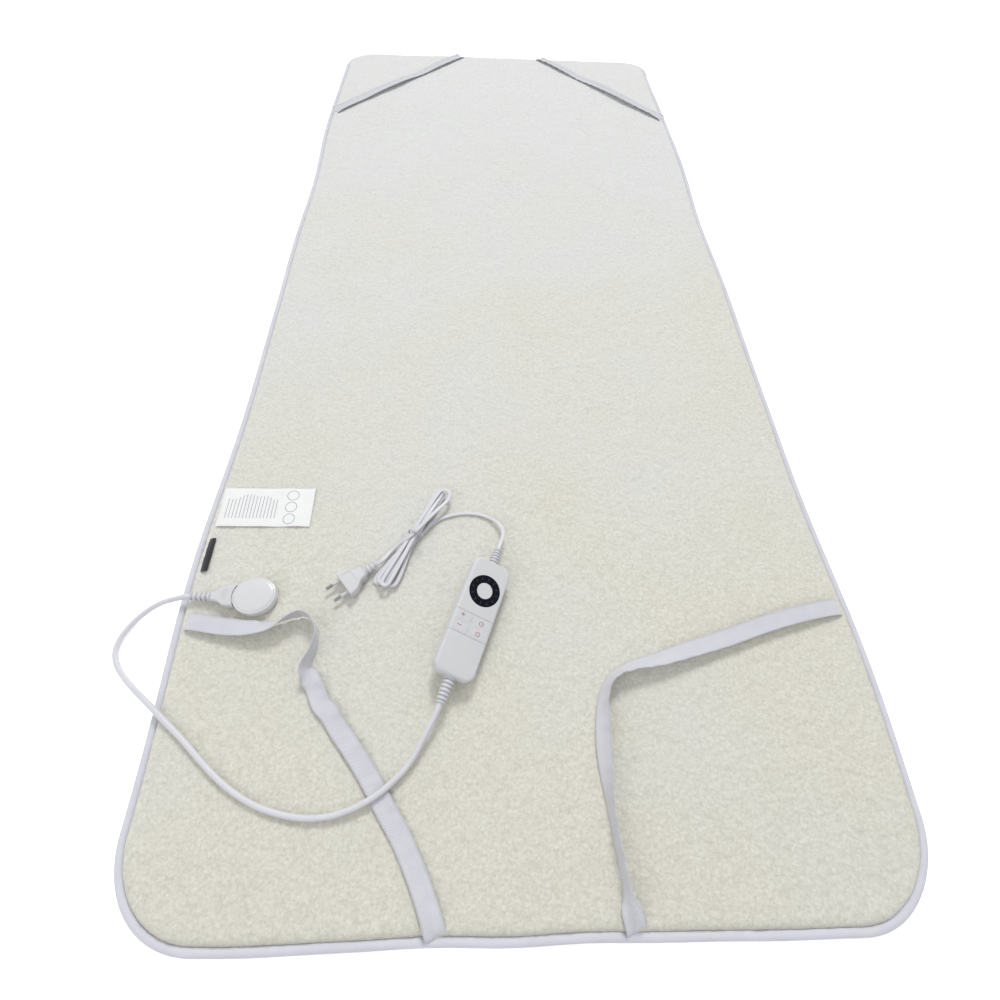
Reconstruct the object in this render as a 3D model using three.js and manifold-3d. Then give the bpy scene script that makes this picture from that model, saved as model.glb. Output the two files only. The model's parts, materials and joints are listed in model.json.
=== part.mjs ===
// Electric heated fleece underblanket for a single bed, laid flat with its fleece up.
// A detachable lead runs from a round socket on the mat to a hand controller, and a tied
// hank of mains cord ends in a two-pin plug. Millimetres, +Z up, feet end at -Y,
// origin at the centre of the underside.

import * as THREE from "three";
import { mergeVertices } from "three/addons/utils/BufferGeometryUtils.js";
import Module from "manifold-3d";

const wasm = await Module();
wasm.setup();

// ---- driving dimensions ----

const gap = 0.3; // between pieces that touch

const matWidth = 800;
const matLength = 1900;
const matCornerRadius = 95;

const bindingWall = 1.0;
const bindingFlange = 12;
const fabricThickness = 1.0;
const feltThickness = 0.8;
const wireDiameter = 2.2;
const wireRuns = 10;
const wireSideMargin = 85; // outermost run to the mat's edge
const wireEndMargin = 110;
const wireReturnMargin = 62;
const wireToSocket = 30;
const wireCornerCut = 12;
const fleeceBacking = 1.4;
const pileHeight = 7.4;
const pileSlope = 4;

const strapWidth = 20;
const strapThickness = 1.2;
const strapSideInset = 6; // strap end to the mat's outer edge

const labelWidth = 57;
const labelThickness = 0.6;
const tabWidth = 45;
const tabThickness = 1.0;

// places of what lies at the foot end, from the mat's foot left corner
const socketX = 86;
const socketY = 333;
const labelY = 458;
const tabY = 390;
const controllerX = 337.5;
const controllerY = 302;
const hankX = 267;
const hankY = 414;
const plugX = 209.5;
const plugY = 362.5;

const socketRadius = 25;
const socketBase = 2;
const socketDomeWall = 7;
const socketDomeHeight = 9.5;
const socketShell = 2;
const socketStemRadius = 8;
const socketStemClearance = 0.4;

const tongueWidth = 18;
const tongueHeight = 6;
const tongueLength = 14;
const tongueClearance = 0.5;
const contactCount = 3;
const contactPitch = 5.4;
const pinRadius = 0.8;
const sleeveWall = 0.4;
const pinClearance = 0.3;

const connectorWidth = 26;
const connectorNeck = 11;
const connectorLength = 24;
const connectorHeight = 10;
const connectorBoot = 24;

const controllerWidth = 48;
const controllerLength = 141;
const controllerHeight = 19;
const controllerCorner = 11;
const controllerWall = 2;
const controllerRoll = 22; // degrees, left edge raised on the soft pile
const controllerYaw = 19.6; // degrees, head end leaning to +X

const ringOffset = 32;
const ringOuter = 18.9;
const ringInner = 9.6;
const ringThickness = 1.1;

const keyWidth = 18.4;
const keyDepth = 10.2;
const keyColumn = 11.3;
const keyRowTop = -5.4;
const keyRowPitch = 12.4;
const keyTravel = 0.5;
const keyProud = 0.2;
const keyCapThickness = 2.3;
const keyStemRadius = 1.6;

const boardThickness = 1.6;
const boardLength = 110;
const boardWidth = 41;
const boardHeight = 8;
const switchSize = 6;
const switchHeight = 3.6;
const screwShank = 1.2;
const screwHead = 2.6;
const postRadius = 3.6;
const screwColumn = 17;
const screwRow = 50;

const bootRadius = 6;
const leadBootLength = 28;
const mainsBootLength = 22;

const leadDiameter = 6.2;
const mainsWidth = 5;
const mainsThickness = 3;

const hankTilt = 26.7; // degrees from +Y towards +X
const hankLength = 152;
const hankWaist = 14;
const hankLoopWidth = 30;
const hankHeight = 15;
const tieWidth = 4;
const tieThickness = 1;

const plugHeading = 218.4; // degrees, the way the pins point
const plugWidth = 35.3;
const plugBack = 15;
const plugLength = 27.5;
const plugThickness = 13.7;
const plugPinRadius = 2;
const plugPinLength = 19;
const plugPinPitch = 18.6;
const plugBootLength = 18;
const plugBootRadius = 5.2;

// ---- levels of the mat's layers, from the underside up ----

const fabricBottom = bindingWall + gap;
const fabricTop = fabricBottom + fabricThickness;
const feltBottom = fabricTop + gap;
const feltTop = feltBottom + feltThickness;
const wireAxis = feltTop + gap + wireDiameter / 2;
const fleeceBottom = wireAxis + wireDiameter / 2 + gap;
const backingTop = fleeceBottom + fleeceBacking;
const bindingHeight = backingTop + gap + bindingWall;
const fleeceTop = backingTop + pileHeight;
const restLevel = fleeceTop + gap;

// ---- finishes ----

function finish(name, colour, roughness, metalness = 0) {
  return new THREE.MeshStandardMaterial({ name, color: colour, roughness, metalness });
}

const colours = {
  fleece: [0xe6e5dc, 0.95],
  fabric: [0xdfdfdc, 0.9],
  felt: [0xd2d0c6, 0.95],
  wire: [0xe9e3d2, 0.6],
  tape: [0xe2e1ec, 0.8],
  label: [0xf1f1f1, 0.7],
  tab: [0x17171b, 0.7],
  shell: [0xd9d9de, 0.45],
  ring: [0x14161f, 0.25],
  board: [0x2c6b45, 0.6],
  component: [0x2a2a2d, 0.6],
  cord: [0xd8d8de, 0.5],
  metal: [0xb9bcc0, 0.3, 1],
};

const underblanket = new THREE.Group();

// what lies at the foot end keeps its place from the mat's foot left corner
const footCorner = new THREE.Group();
footCorner.position.set(-matWidth / 2, -matLength / 2, 0);
underblanket.add(footCorner);
const socketOnMat = footCorner.position.clone().add(new THREE.Vector3(socketX, socketY, 0));

function place(name, colour, geometry, parent = underblanket) {
  const mesh = new THREE.Mesh(geometry, finish(name, ...colours[colour]));
  mesh.name = name;
  parent.add(mesh);
  return mesh;
}

// ---- geometry tools ----

function toSolid(geometry) {
  const bare = geometry.clone();
  bare.deleteAttribute("normal");
  bare.deleteAttribute("uv");
  const merged = mergeVertices(bare, 1e-4);
  const corners = merged.index.array;
  const kept = [];
  for (let i = 0; i < corners.length; i += 3) {
    const [a, b, c] = [corners[i], corners[i + 1], corners[i + 2]];
    if (a !== b && b !== c && c !== a) {
      kept.push(a, b, c);
    }
  }
  const vertProperties = merged.attributes.position.array;
  return new wasm.Manifold(
    new wasm.Mesh({ numProp: 3, vertProperties, triVerts: Uint32Array.from(kept) }),
  );
}

function toGeometry(solid) {
  const mesh = solid.getMesh();
  const geometry = new THREE.BufferGeometry();
  geometry.setAttribute("position", new THREE.BufferAttribute(mesh.vertProperties, 3));
  geometry.setIndex(new THREE.BufferAttribute(mesh.triVerts, 1));
  return geometry;
}

function join(...pieces) {
  return toGeometry(pieces.map(toSolid).reduce((whole, piece) => whole.add(piece)));
}

function cut(piece, ...tools) {
  return toGeometry(tools.map(toSolid).reduce((rest, tool) => rest.subtract(tool), toSolid(piece)));
}

function common(piece, tool) {
  return toGeometry(toSolid(piece).intersect(toSolid(tool)));
}

function roundedRectangle(width, length, radius) {
  const x = width / 2 - radius;
  const y = length / 2 - radius;
  const shape = new THREE.Shape();
  shape.absarc(x, y, radius, 0, Math.PI / 2);
  shape.absarc(-x, y, radius, Math.PI / 2, Math.PI);
  shape.absarc(-x, -y, radius, Math.PI, Math.PI * 1.5);
  shape.absarc(x, -y, radius, Math.PI * 1.5, Math.PI * 2);
  return shape;
}

function slab(shape, bottom, top, curveSegments = 5) {
  const options = { depth: top - bottom, bevelEnabled: false, curveSegments };
  return new THREE.ExtrudeGeometry(shape, options).translate(0, 0, bottom);
}

// an extruded shape whose upper and lower edges are rounded inside its outline
function softSlab(shape, bottom, top, round, curveSegments = 5, bevelSegments = 2) {
  const options = {
    depth: top - bottom - 2 * round,
    bevelThickness: round,
    bevelSize: round,
    bevelOffset: -round,
    bevelSegments,
    curveSegments,
  };
  return new THREE.ExtrudeGeometry(shape, options).translate(0, 0, bottom + round);
}

function block(width, length, bottom, top, x = 0, y = 0) {
  const box = new THREE.BoxGeometry(width, length, top - bottom);
  return box.translate(x, y, (top + bottom) / 2);
}

function rod(radius, bottom, top, x = 0, y = 0, sides = 16) {
  const cylinder = new THREE.CylinderGeometry(radius, radius, top - bottom, sides);
  return cylinder.rotateX(Math.PI / 2).translate(x, y, (top + bottom) / 2);
}

// a turned piece on +Z, from pairs of radius and height
function turned(pairs, sides = 16) {
  const profile = pairs.map(([radius, height]) => new THREE.Vector2(radius, height));
  return new THREE.LatheGeometry(profile, sides).rotateX(Math.PI / 2);
}

function sleeve(outer, inner, length, sides = 10) {
  return turned([[inner, 0], [outer, 0], [outer, length], [inner, length], [inner, 0]], sides);
}

// a ribbed, tapering boot on +Z with a flange and a neck held in a wall
function bootProfile(flange, neck, held, start, end, length, ribs) {
  const pairs = [[0, 0]];
  if (held > 0) {
    pairs.push([flange, 0], [flange, held - 2.4], [neck, held - 2.4], [neck, held]);
  }
  const pitch = length / (ribs + 0.5);
  for (let rib = 0; rib <= ribs; rib += 1) {
    const low = held + rib * pitch;
    const radius = THREE.MathUtils.lerp(start, end, rib / ribs);
    const high = Math.min(low + pitch * 0.6, held + length);
    pairs.push([radius, low], [radius, high]);
    if (rib < ribs) {
      pairs.push([radius - 1, high], [radius - 1, low + pitch]);
    }
  }
  pairs.push([0, held + length]);
  return pairs;
}

function points(list) {
  return list.map((item) => new THREE.Vector3(...item.slice(0, 3)));
}

// a solid cord along hand-laid points
function cordAlong(list, section, steps) {
  const route = new THREE.CatmullRomCurve3(points(list), false, "centripetal");
  return new THREE.ExtrudeGeometry(section, { steps, extrudePath: route, curveSegments: 2 });
}

function roundSection(diameter, sides) {
  const corners = [];
  for (let side = 0; side < sides; side += 1) {
    const angle = (side / sides) * Math.PI * 2;
    corners.push(new THREE.Vector2(Math.cos(angle), Math.sin(angle)).multiplyScalar(diameter / 2));
  }
  return new THREE.Shape(corners);
}

function flatSection(thickness, width) {
  const chamfer = thickness * 0.3;
  const [x, y] = [thickness / 2, width / 2];
  const corners = [
    [x, -y + chamfer], [x, y - chamfer], [x - chamfer, y], [-x + chamfer, y],
    [-x, y - chamfer], [-x, -y + chamfer], [-x + chamfer, -y], [x - chamfer, -y],
  ];
  return new THREE.Shape(corners.map(([a, b]) => new THREE.Vector2(a, b)));
}

// A flat band that follows stations of x, y, z and roll in degrees. The two ends are cut
// along the seams that they are sewn to, and turn square to the band over seamBlend.
function band(stations, width, thickness, steps, columns = 1, startSeam = null, endSeam = null) {
  const route = new THREE.CatmullRomCurve3(points(stations), false, "centripetal");
  const seamBlend = 60 / route.getLength();
  const up = new THREE.Vector3(0, 0, 1);
  const geometry = new THREE.BoxGeometry(width, thickness, 1, columns, 1, steps);
  const position = geometry.attributes.position;
  const vertex = new THREE.Vector3();
  for (let i = 0; i < position.count; i += 1) {
    vertex.fromBufferAttribute(position, i);
    const u = THREE.MathUtils.clamp(vertex.z + 0.5, 0, 1);
    const t = route.getUtoTmapping(u) * (stations.length - 1);
    const before = Math.min(Math.floor(t), stations.length - 2);
    const [from, to] = [stations[before][3] ?? 0, stations[before + 1][3] ?? 0];
    const roll = THREE.MathUtils.degToRad(THREE.MathUtils.lerp(from, to, t - before));
    const tangent = route.getTangentAt(u);
    const square = up.clone().cross(tangent).normalize();
    const lift = tangent.clone().cross(square).normalize();
    const side = square.clone();
    const nearStart = 1 - THREE.MathUtils.smoothstep(u, 0, seamBlend);
    const nearEnd = THREE.MathUtils.smoothstep(u, 1 - seamBlend, 1);
    if (startSeam) {
      side.lerp(startSeam.clone().multiplyScalar(Math.sign(startSeam.dot(square))), nearStart);
    }
    if (endSeam) {
      side.lerp(endSeam.clone().multiplyScalar(Math.sign(endSeam.dot(square))), nearEnd);
    }
    side.divideScalar(side.dot(square));
    const across = side.clone().multiplyScalar(Math.cos(roll)).addScaledVector(lift, Math.sin(roll));
    const out = lift.clone().multiplyScalar(Math.cos(roll)).addScaledVector(square, -Math.sin(roll));
    const spot = route.getPointAt(u).addScaledVector(across, vertex.x).addScaledVector(out, vertex.y);
    position.setXYZ(i, spot.x, spot.y, spot.z);
  }
  return geometry;
}

const sideSeam = new THREE.Vector3(0, 1, 0);
const endSeamLine = new THREE.Vector3(1, 0, 0);

// ---- the mat: binding, underside, felt, heating wire and fleece ----

function insetOutline(inset) {
  return roundedRectangle(
    matWidth - 2 * inset, matLength - 2 * inset, matCornerRadius - inset);
}

function makeBinding() {
  const outer = slab(insetOutline(0), 0, bindingHeight);
  const channel = slab(insetOutline(bindingWall), bindingWall, bindingHeight - bindingWall);
  const window = slab(insetOutline(bindingFlange), -1, bindingHeight + 1);
  return cut(outer, channel, window);
}

function makeBottomFabric() {
  const sheet = slab(insetOutline(bindingWall + gap), fabricBottom, fabricTop);
  const face = slab(insetOutline(bindingFlange + gap), 0, fabricTop);
  return join(sheet, face);
}

function makeFleece() {
  const backing = slab(insetOutline(bindingWall + gap), fleeceBottom, backingTop);
  const pile = slab(insetOutline(bindingFlange + gap), fleeceBottom, fleeceTop);
  const position = pile.attributes.position;
  const pileWidth = matWidth - 2 * (bindingFlange + gap);
  const pileLength = matLength - 2 * (bindingFlange + gap);
  const shrinkX = 1 - (2 * pileSlope) / pileWidth;
  const shrinkY = 1 - (2 * pileSlope) / pileLength;
  for (let i = 0; i < position.count; i += 1) {
    if (position.getZ(i) > fleeceTop - 1) {
      position.setX(i, position.getX(i) * shrinkX);
      position.setY(i, position.getY(i) * shrinkY);
    }
  }
  const stemHole = rod(
    socketStemRadius + socketStemClearance, fleeceBottom - 1, fleeceTop + 1,
    socketOnMat.x, socketOnMat.y);
  return cut(join(backing, pile), stemHole);
}

// a route whose steps fall on its own corners
class StepRoute extends THREE.Curve {
  constructor(corners) {
    super();
    this.corners = corners;
  }

  getPoint(t) {
    const along = t * (this.corners.length - 1);
    const before = Math.min(Math.floor(along), this.corners.length - 2);
    return this.corners[before].clone().lerp(this.corners[before + 1], along - before);
  }

  getPointAt(u) {
    return this.getPoint(u);
  }

  getTangentAt(u) {
    return this.getTangent(u);
  }
}

function makeHeatingWire() {
  const bendSteps = 5;
  const reach = matLength / 2 - wireEndMargin;
  const firstX = -matWidth / 2 + wireSideMargin;
  const wireSpacing = (-2 * firstX) / (wireRuns - 1);
  const radius = wireSpacing / 2;
  const startY = socketOnMat.y - wireToSocket;
  const corners = [new THREE.Vector3(firstX, startY, wireAxis)];
  for (let run = 0; run < wireRuns; run += 1) {
    const upwards = run % 2 === 0;
    const x = firstX + run * wireSpacing;
    const turnY = upwards ? reach - radius : -reach + radius;
    const last = run === wireRuns - 1;
    const bendX = last ? x - radius : x + radius;
    for (let step = 0; step <= bendSteps; step += 1) {
      const angle = (step / bendSteps) * (last ? Math.PI / 2 : Math.PI);
      const outward = upwards ? 1 : -1;
      const sideways = last ? Math.cos(angle) : -Math.cos(angle);
      corners.push(new THREE.Vector3(
        bendX + radius * sideways, turnY + outward * radius * Math.sin(angle), wireAxis));
    }
  }
  const returnY = -matLength / 2 + wireReturnMargin;
  const lastCorner = corners[corners.length - 1];
  lastCorner.y = returnY;
  corners[corners.length - 2].y = (returnY + corners[corners.length - 3].y) / 2;
  const returnX = firstX - radius;
  corners.push(new THREE.Vector3(returnX + wireCornerCut, returnY, wireAxis));
  corners.push(new THREE.Vector3(returnX, returnY + wireCornerCut, wireAxis));
  corners.push(new THREE.Vector3(returnX, startY, wireAxis));
  const route = new StepRoute(corners);
  return new THREE.ExtrudeGeometry(
    roundSection(wireDiameter, 6), { steps: corners.length - 1, extrudePath: route });
}

place("binding_tape", "tape", makeBinding());
place("bottom_fabric", "fabric", makeBottomFabric());
place("carrier_felt", "felt", slab(insetOutline(bindingWall + gap), feltBottom, feltTop));
place("heating_wire", "wire", makeHeatingWire());
place("top_fleece", "fleece", makeFleece());

// ---- corner straps, care label and side tab, all sewn to the binding ----

const seamLevel = bindingHeight + gap;
const strapSeam = seamLevel + strapThickness / 2;
const sideSeamX = matWidth / 2 - strapSideInset;
const endSeamY = matLength / 2 - strapSideInset;

// distance from a sewn end and height: over the binding first, then over the pile
const onPile = restLevel;
const strapClimb = onPile - strapSeam;
const strapRise = [
  [0, strapSeam], [5, strapSeam + strapClimb * 0.3], [11, onPile + 1], [19, onPile + 3.2],
  [35, onPile + 4.6], [110, onPile + 6.5],
];

function straightStrap(start, end, crown) {
  const from = new THREE.Vector3(...start, strapSeam);
  const to = new THREE.Vector3(...end, strapSeam);
  const along = to.clone().sub(from);
  const length = along.length();
  along.normalize();
  const at = (distance, height) => {
    const spot = from.clone().addScaledVector(along, distance);
    return [spot.x, spot.y, height];
  };
  const rising = strapRise.map(([distance, height]) => at(distance, height));
  const falling = strapRise.map(([distance, height]) => at(length - distance, height)).reverse();
  return [...rising, at(length / 2, crown), ...falling];
}

const headStrapCrown = onPile + 7.5;
const headLeftStations = straightStrap(
  [-sideSeamX, endSeamY - 359], [-sideSeamX + 302, endSeamY], headStrapCrown);
const headRightStations = straightStrap(
  [sideSeamX, endSeamY - 349], [sideSeamX - 292, endSeamY], headStrapCrown);

// The slack straps at the foot end stand on edge where they bend. A station is its distance
// in from the side seam, its y, its height and its roll. The left strap passes the socket.
const pastSocket = socketOnMat.y - socketRadius;
const footSeam = -endSeamY;
const footLeftStations = [
  [0, pastSocket - 4, strapSeam, 0], [4.5, pastSocket - 4, strapSeam + 2.2, 0],
  [9, pastSocket - 4, onPile + 1.7, 0], [19, pastSocket - 5, onPile + 4, 0],
  [49, pastSocket - 11, onPile + 7, 0], [79, pastSocket - 14, onPile + 9, -15],
  [106, pastSocket - 12, onPile + 10.4, -45], [123, pastSocket - 4, onPile + 10.9, -80],
  [138, pastSocket + 2, onPile + 10.9, -90], [152, pastSocket - 5, onPile + 10.9, -90],
  [160, pastSocket - 23, onPile + 10.9, -90], [157, pastSocket - 43, onPile + 10.9, -85],
  [154, pastSocket - 58, onPile + 9.6, -60], [160, pastSocket - 72, onPile + 5, -12],
  [166, footSeam + 217, onPile + 3.4, 0], [191, footSeam + 187, onPile + 2.4, 0],
  [231, footSeam + 136, onPile + 1.9, 0], [269, footSeam + 80, onPile + 1.9, 0],
  [292, footSeam + 38, onPile + 2.3, 0], [300, footSeam + 20, onPile + 3, 0],
  [303.5, footSeam + 11, onPile + 1.6, 0], [306, footSeam + 5, strapSeam + 2.2, 0],
  [308, footSeam, strapSeam, 0],
].map(([inward, ...rest]) => [-sideSeamX + inward, ...rest]);
const footRightStations = [
  [0, footSeam + 311, strapSeam, 0], [4.5, footSeam + 311, strapSeam + 2.2, 0],
  [9, footSeam + 311, onPile + 1.7, 0], [19, footSeam + 310, onPile + 4, 0],
  [66, footSeam + 300, onPile + 8, 0], [114, footSeam + 287, onPile + 8, 0],
  [160, footSeam + 272, onPile + 8.4, 5], [205, footSeam + 259, onPile + 9.2, 16],
  [243, footSeam + 248, onPile + 9.9, 32], [277, footSeam + 240, onPile + 10.6, 52],
  [299, footSeam + 229, onPile + 10.9, 68], [311, footSeam + 210, onPile + 10.6, 62],
  [315, footSeam + 182, onPile + 8.4, 38], [317, footSeam + 150, onPile + 6, 12],
  [316, footSeam + 118, onPile + 6.4, 14], [314, footSeam + 86, onPile + 8.8, 42],
  [311, footSeam + 56, onPile + 9.6, 60], [308, footSeam + 34, onPile + 8.2, 48],
  [306, footSeam + 21, onPile + 4.8, 8], [304, footSeam + 12, onPile + 2.4, 0],
  [302, footSeam + 5, strapSeam + 2.4, 0], [300, footSeam, strapSeam, 0],
].map(([inward, ...rest]) => [sideSeamX - inward, ...rest]);

const straps = {
  strap_head_left: headLeftStations,
  strap_head_right: headRightStations,
  strap_foot_left: footLeftStations,
  strap_foot_right: footRightStations,
};
const strapSteps = 72;
const strapColumns = 3;
for (const [name, stations] of Object.entries(straps)) {
  const strap = band(
    stations, strapWidth, strapThickness, strapSteps, strapColumns, sideSeam, endSeamLine);
  place(name, "tape", strap);
}

// a flap sewn on the left binding, running inward over the pile's edge and lying on the pile
function sewnFlap(y, thickness, width, reach, steps, lift) {
  const seam = seamLevel + thickness / 2;
  const edge = [[0, seam], [4.5, seam + 1.8], [9, onPile + 0.9 + lift], [17, onPile + 1.1 + lift]];
  const rest = reach.map((inward) => [inward, onPile + 0.6 + lift]);
  const stations = [...edge, ...rest].map(([inward, z]) => [-sideSeamX + inward, y, z]);
  return band(stations, width, thickness, steps);
}

place(
  "care_label", "label",
  sewnFlap(labelY - matLength / 2, labelThickness, labelWidth, [54, 126], 10, 0));
place("side_tab", "tab", sewnFlap(tabY - matLength / 2, tabThickness, tabWidth, [], 6, 0.3));

// ---- the socket on the mat ----

const socketFloor = restLevel + socketBase;
const domeBottom = socketFloor + gap;
const connectorAxis = domeBottom + tongueClearance + tongueHeight / 2;

function makeSocketLower() {
  const plate = rod(socketRadius, restLevel, socketFloor, 0, 0, 32);
  const stem = rod(socketStemRadius, fleeceBottom, restLevel + 1);
  return join(plate, stem);
}

function makeSocketUpper() {
  const dome = (radius, wall, height) => turned([
    [0, -1], [radius, -1], [radius, wall], [radius * 0.93, wall + (height - wall) * 0.55],
    [radius * 0.7, height - 0.7], [0, height],
  ], 32);
  const hollow = dome(
    socketRadius - socketShell, socketDomeWall - socketShell / 2, socketDomeHeight - socketShell);
  const below = rod(socketRadius * 2, -socketDomeHeight, 0);
  const mouth = block(
    socketRadius, tongueWidth + 2 * tongueClearance, -1,
    tongueHeight + 2 * tongueClearance, -socketRadius, 0);
  return cut(dome(socketRadius, socketDomeWall, socketDomeHeight), hollow, below, mouth);
}

const socket = new THREE.Group();
socket.position.set(socketX, socketY, 0);
footCorner.add(socket);
place("socket_lower_shell", "shell", makeSocketLower(), socket);
place("socket_upper_shell", "shell", makeSocketUpper().translate(0, 0, domeBottom), socket);

const mouthX = -socketRadius;
const tongueTip = mouthX + tongueLength;
const pinBlockLength = 6;
const pinBlockX = tongueTip + 1 + pinBlockLength / 2;
const contactRows = [];
for (let contact = 0; contact < contactCount; contact += 1) {
  contactRows.push((contact - (contactCount - 1) / 2) * contactPitch);
}

function alongX(geometry, x, y, z) {
  return geometry.rotateY(Math.PI / 2).translate(x, y, z);
}

function makePinBlock() {
  const body = block(
    pinBlockLength, tongueWidth - 1, domeBottom, domeBottom + tongueHeight, pinBlockX, 0);
  const holes = contactRows.map((row) => alongX(
    rod(pinRadius + pinClearance, -pinBlockLength, pinBlockLength, 0, 0, 10),
    pinBlockX, row, connectorAxis));
  return cut(body, ...holes);
}

place("socket_pin_block", "component", makePinBlock(), socket);
const pinLength = tongueTip - mouthX - 4 + pinBlockLength;
contactRows.forEach((row, index) => {
  const start = pinBlockX + pinBlockLength / 2 - pinLength;
  const pin = alongX(rod(pinRadius, 0, pinLength, 0, 0, 10), start, row, connectorAxis);
  place(`socket_pin_${index + 1}`, "metal", pin, socket);
});
const socketBoardX = pinBlockX + pinBlockLength / 2 + 8;
place(
  "socket_board", "board",
  block(14, 24, domeBottom, domeBottom + boardThickness, socketBoardX, 0), socket);
place(
  "thermal_cutout", "component",
  block(8, 12, domeBottom + boardThickness + gap, domeBottom + boardThickness + 4.5,
    socketBoardX, 0), socket);

// ---- the connector that plugs into it ----

const connectorBack = mouthX - 4 - connectorLength + 3;

function makeConnectorBody() {
  const half = connectorWidth / 2;
  const neck = connectorNeck / 2;
  const front = mouthX + 5;
  const outline = new THREE.Shape();
  outline.moveTo(front, -half);
  outline.lineTo(front, half);
  outline.lineTo(mouthX - 6, half);
  outline.bezierCurveTo(mouthX - 15, half, mouthX - 18, neck, connectorBack, neck);
  outline.lineTo(connectorBack, -neck);
  outline.bezierCurveTo(mouthX - 18, -neck, mouthX - 15, -half, mouthX - 6, -half);
  const bottom = connectorAxis - connectorHeight / 2;
  const grip = softSlab(outline, bottom, bottom + connectorHeight, 2.5, 6);
  const clearOfSocket = rod(socketRadius + gap, bottom - 1, bottom + connectorHeight + 1, 0, 0, 32);
  const tongue = block(
    tongueLength + 4, tongueWidth, connectorAxis - tongueHeight / 2,
    connectorAxis + tongueHeight / 2, tongueTip - (tongueLength + 4) / 2, 0);
  const holes = contactRows.map((row) => alongX(
    rod(pinRadius + 2 * pinClearance + sleeveWall, 0, tongueLength, 0, 0, 10),
    tongueTip - tongueLength + 2, row, connectorAxis));
  return cut(join(cut(grip, clearOfSocket), tongue), ...holes);
}

const connector = new THREE.Group();
connector.position.set(socketX, socketY, 0);
footCorner.add(connector);
place("connector_body", "shell", makeConnectorBody(), connector);
contactRows.forEach((row, index) => {
  const inner = pinRadius + pinClearance;
  const tube = sleeve(inner + sleeveWall, inner, tongueLength - 4);
  place(
    `connector_contact_${index + 1}`, "metal",
    alongX(tube, tongueTip - tongueLength + 3, row, connectorAxis), connector);
});
const connectorBootShape = turned(bootProfile(0, 0, 0, 4.8, 4.2, connectorBoot, 4), 10);
place(
  "connector_strain_relief", "shell",
  connectorBootShape.rotateY(-Math.PI / 2).translate(connectorBack - gap, 0, connectorAxis),
  connector);

// ---- the hand controller ----

const roll = THREE.MathUtils.degToRad(controllerRoll);
const yaw = THREE.MathUtils.degToRad(controllerYaw);
const controllerRest = restLevel + (controllerWidth / 2) * Math.sin(roll);
const controller = new THREE.Group();
controller.position.set(controllerX, controllerY, controllerRest);
controller.rotation.set(0, roll, -yaw, "ZYX");
footCorner.add(controller);

const partingLevel = controllerHeight * 0.45;
const faceInside = controllerHeight - controllerWall;
const bootAxis = partingLevel;
const boardTop = boardHeight + boardThickness;
const keyRows = [keyRowTop, keyRowTop - keyRowPitch];
const keys = [
  ["plus_key", -keyColumn, keyRows[0]],
  ["minus_key", -keyColumn, keyRows[1]],
  ["timer_key", keyColumn, keyRows[0]],
  ["power_key", keyColumn, keyRows[1]],
];
const screwSpots = [
  [-screwColumn, screwRow], [screwColumn, screwRow],
  [-screwColumn, -screwRow], [screwColumn, -screwRow],
];
const bootHeld = 4.4;
const bootNeck = 4.4;

function keyOutline(clearance) {
  return roundedRectangle(keyWidth + 2 * clearance, keyDepth + 2 * clearance, 2 + clearance);
}

function bootHoles() {
  const reach = controllerLength / 2;
  return [-1, 1].map((end) => new THREE.CylinderGeometry(
    bootNeck + gap, bootNeck + gap, 12, 10).translate(0, end * reach, bootAxis));
}

function controllerBlank() {
  const outline = roundedRectangle(controllerWidth, controllerLength, controllerCorner);
  const inside = roundedRectangle(
    controllerWidth - 2 * controllerWall, controllerLength - 2 * controllerWall,
    controllerCorner - controllerWall);
  const whole = softSlab(outline, 0, controllerHeight, 3, 4);
  return cut(whole, slab(inside, controllerWall, faceInside, 3), ...bootHoles());
}

function makeLowerShell() {
  const half = common(
    controllerBlank(),
    block(controllerWidth * 2, controllerLength * 2, -1, partingLevel - gap / 2));
  const posts = screwSpots.map(([x, y]) => rod(
    postRadius, controllerWall - 0.5, boardHeight - gap, x, y, 8));
  const bores = screwSpots.map(([x, y]) => rod(screwShank + gap, -1, boardHeight + 1, x, y, 8));
  const sinks = screwSpots.map(([x, y]) => rod(screwHead + gap, -1, 2.4, x, y, 8));
  return cut(join(half, ...posts), ...bores, ...sinks);
}

function makeUpperShell() {
  const half = common(
    controllerBlank(),
    block(controllerWidth * 2, controllerLength * 2, partingLevel + gap / 2, controllerHeight + 1));
  const posts = screwSpots.map(([x, y]) => rod(
    postRadius, boardTop + gap, faceInside + 0.5, x, y, 8));
  const bores = screwSpots.map(([x, y]) => rod(screwShank + gap, boardTop, 16, x, y, 8));
  const windows = keys.map(([, x, y]) => slab(
    keyOutline(gap), faceInside - 1, controllerHeight + 1, 2).translate(x, y, 0));
  const pocketFloor = controllerHeight - ringThickness - gap;
  const pocket = cut(
    rod(ringOuter + gap, pocketFloor, controllerHeight + 1, 0, ringOffset, 32),
    rod(ringInner - gap, pocketFloor - 1, controllerHeight + 2, 0, ringOffset, 32));
  return cut(join(half, ...posts), ...bores, ...windows, pocket);
}

place("controller_lower_shell", "shell", makeLowerShell(), controller);
place("controller_upper_shell", "shell", makeUpperShell(), controller);

const ring = sleeve(ringOuter, ringInner, ringThickness, 28);
place(
  "display_ring", "ring", ring.translate(0, ringOffset, controllerHeight - ringThickness),
  controller);

function makeControllerBoard() {
  const holes = screwSpots.map(([x, y]) => rod(
    screwShank + 2 * gap, boardHeight - 1, boardTop + 1, x, y, 8));
  return cut(block(boardWidth, boardLength, boardHeight, boardTop), ...holes);
}

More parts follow.
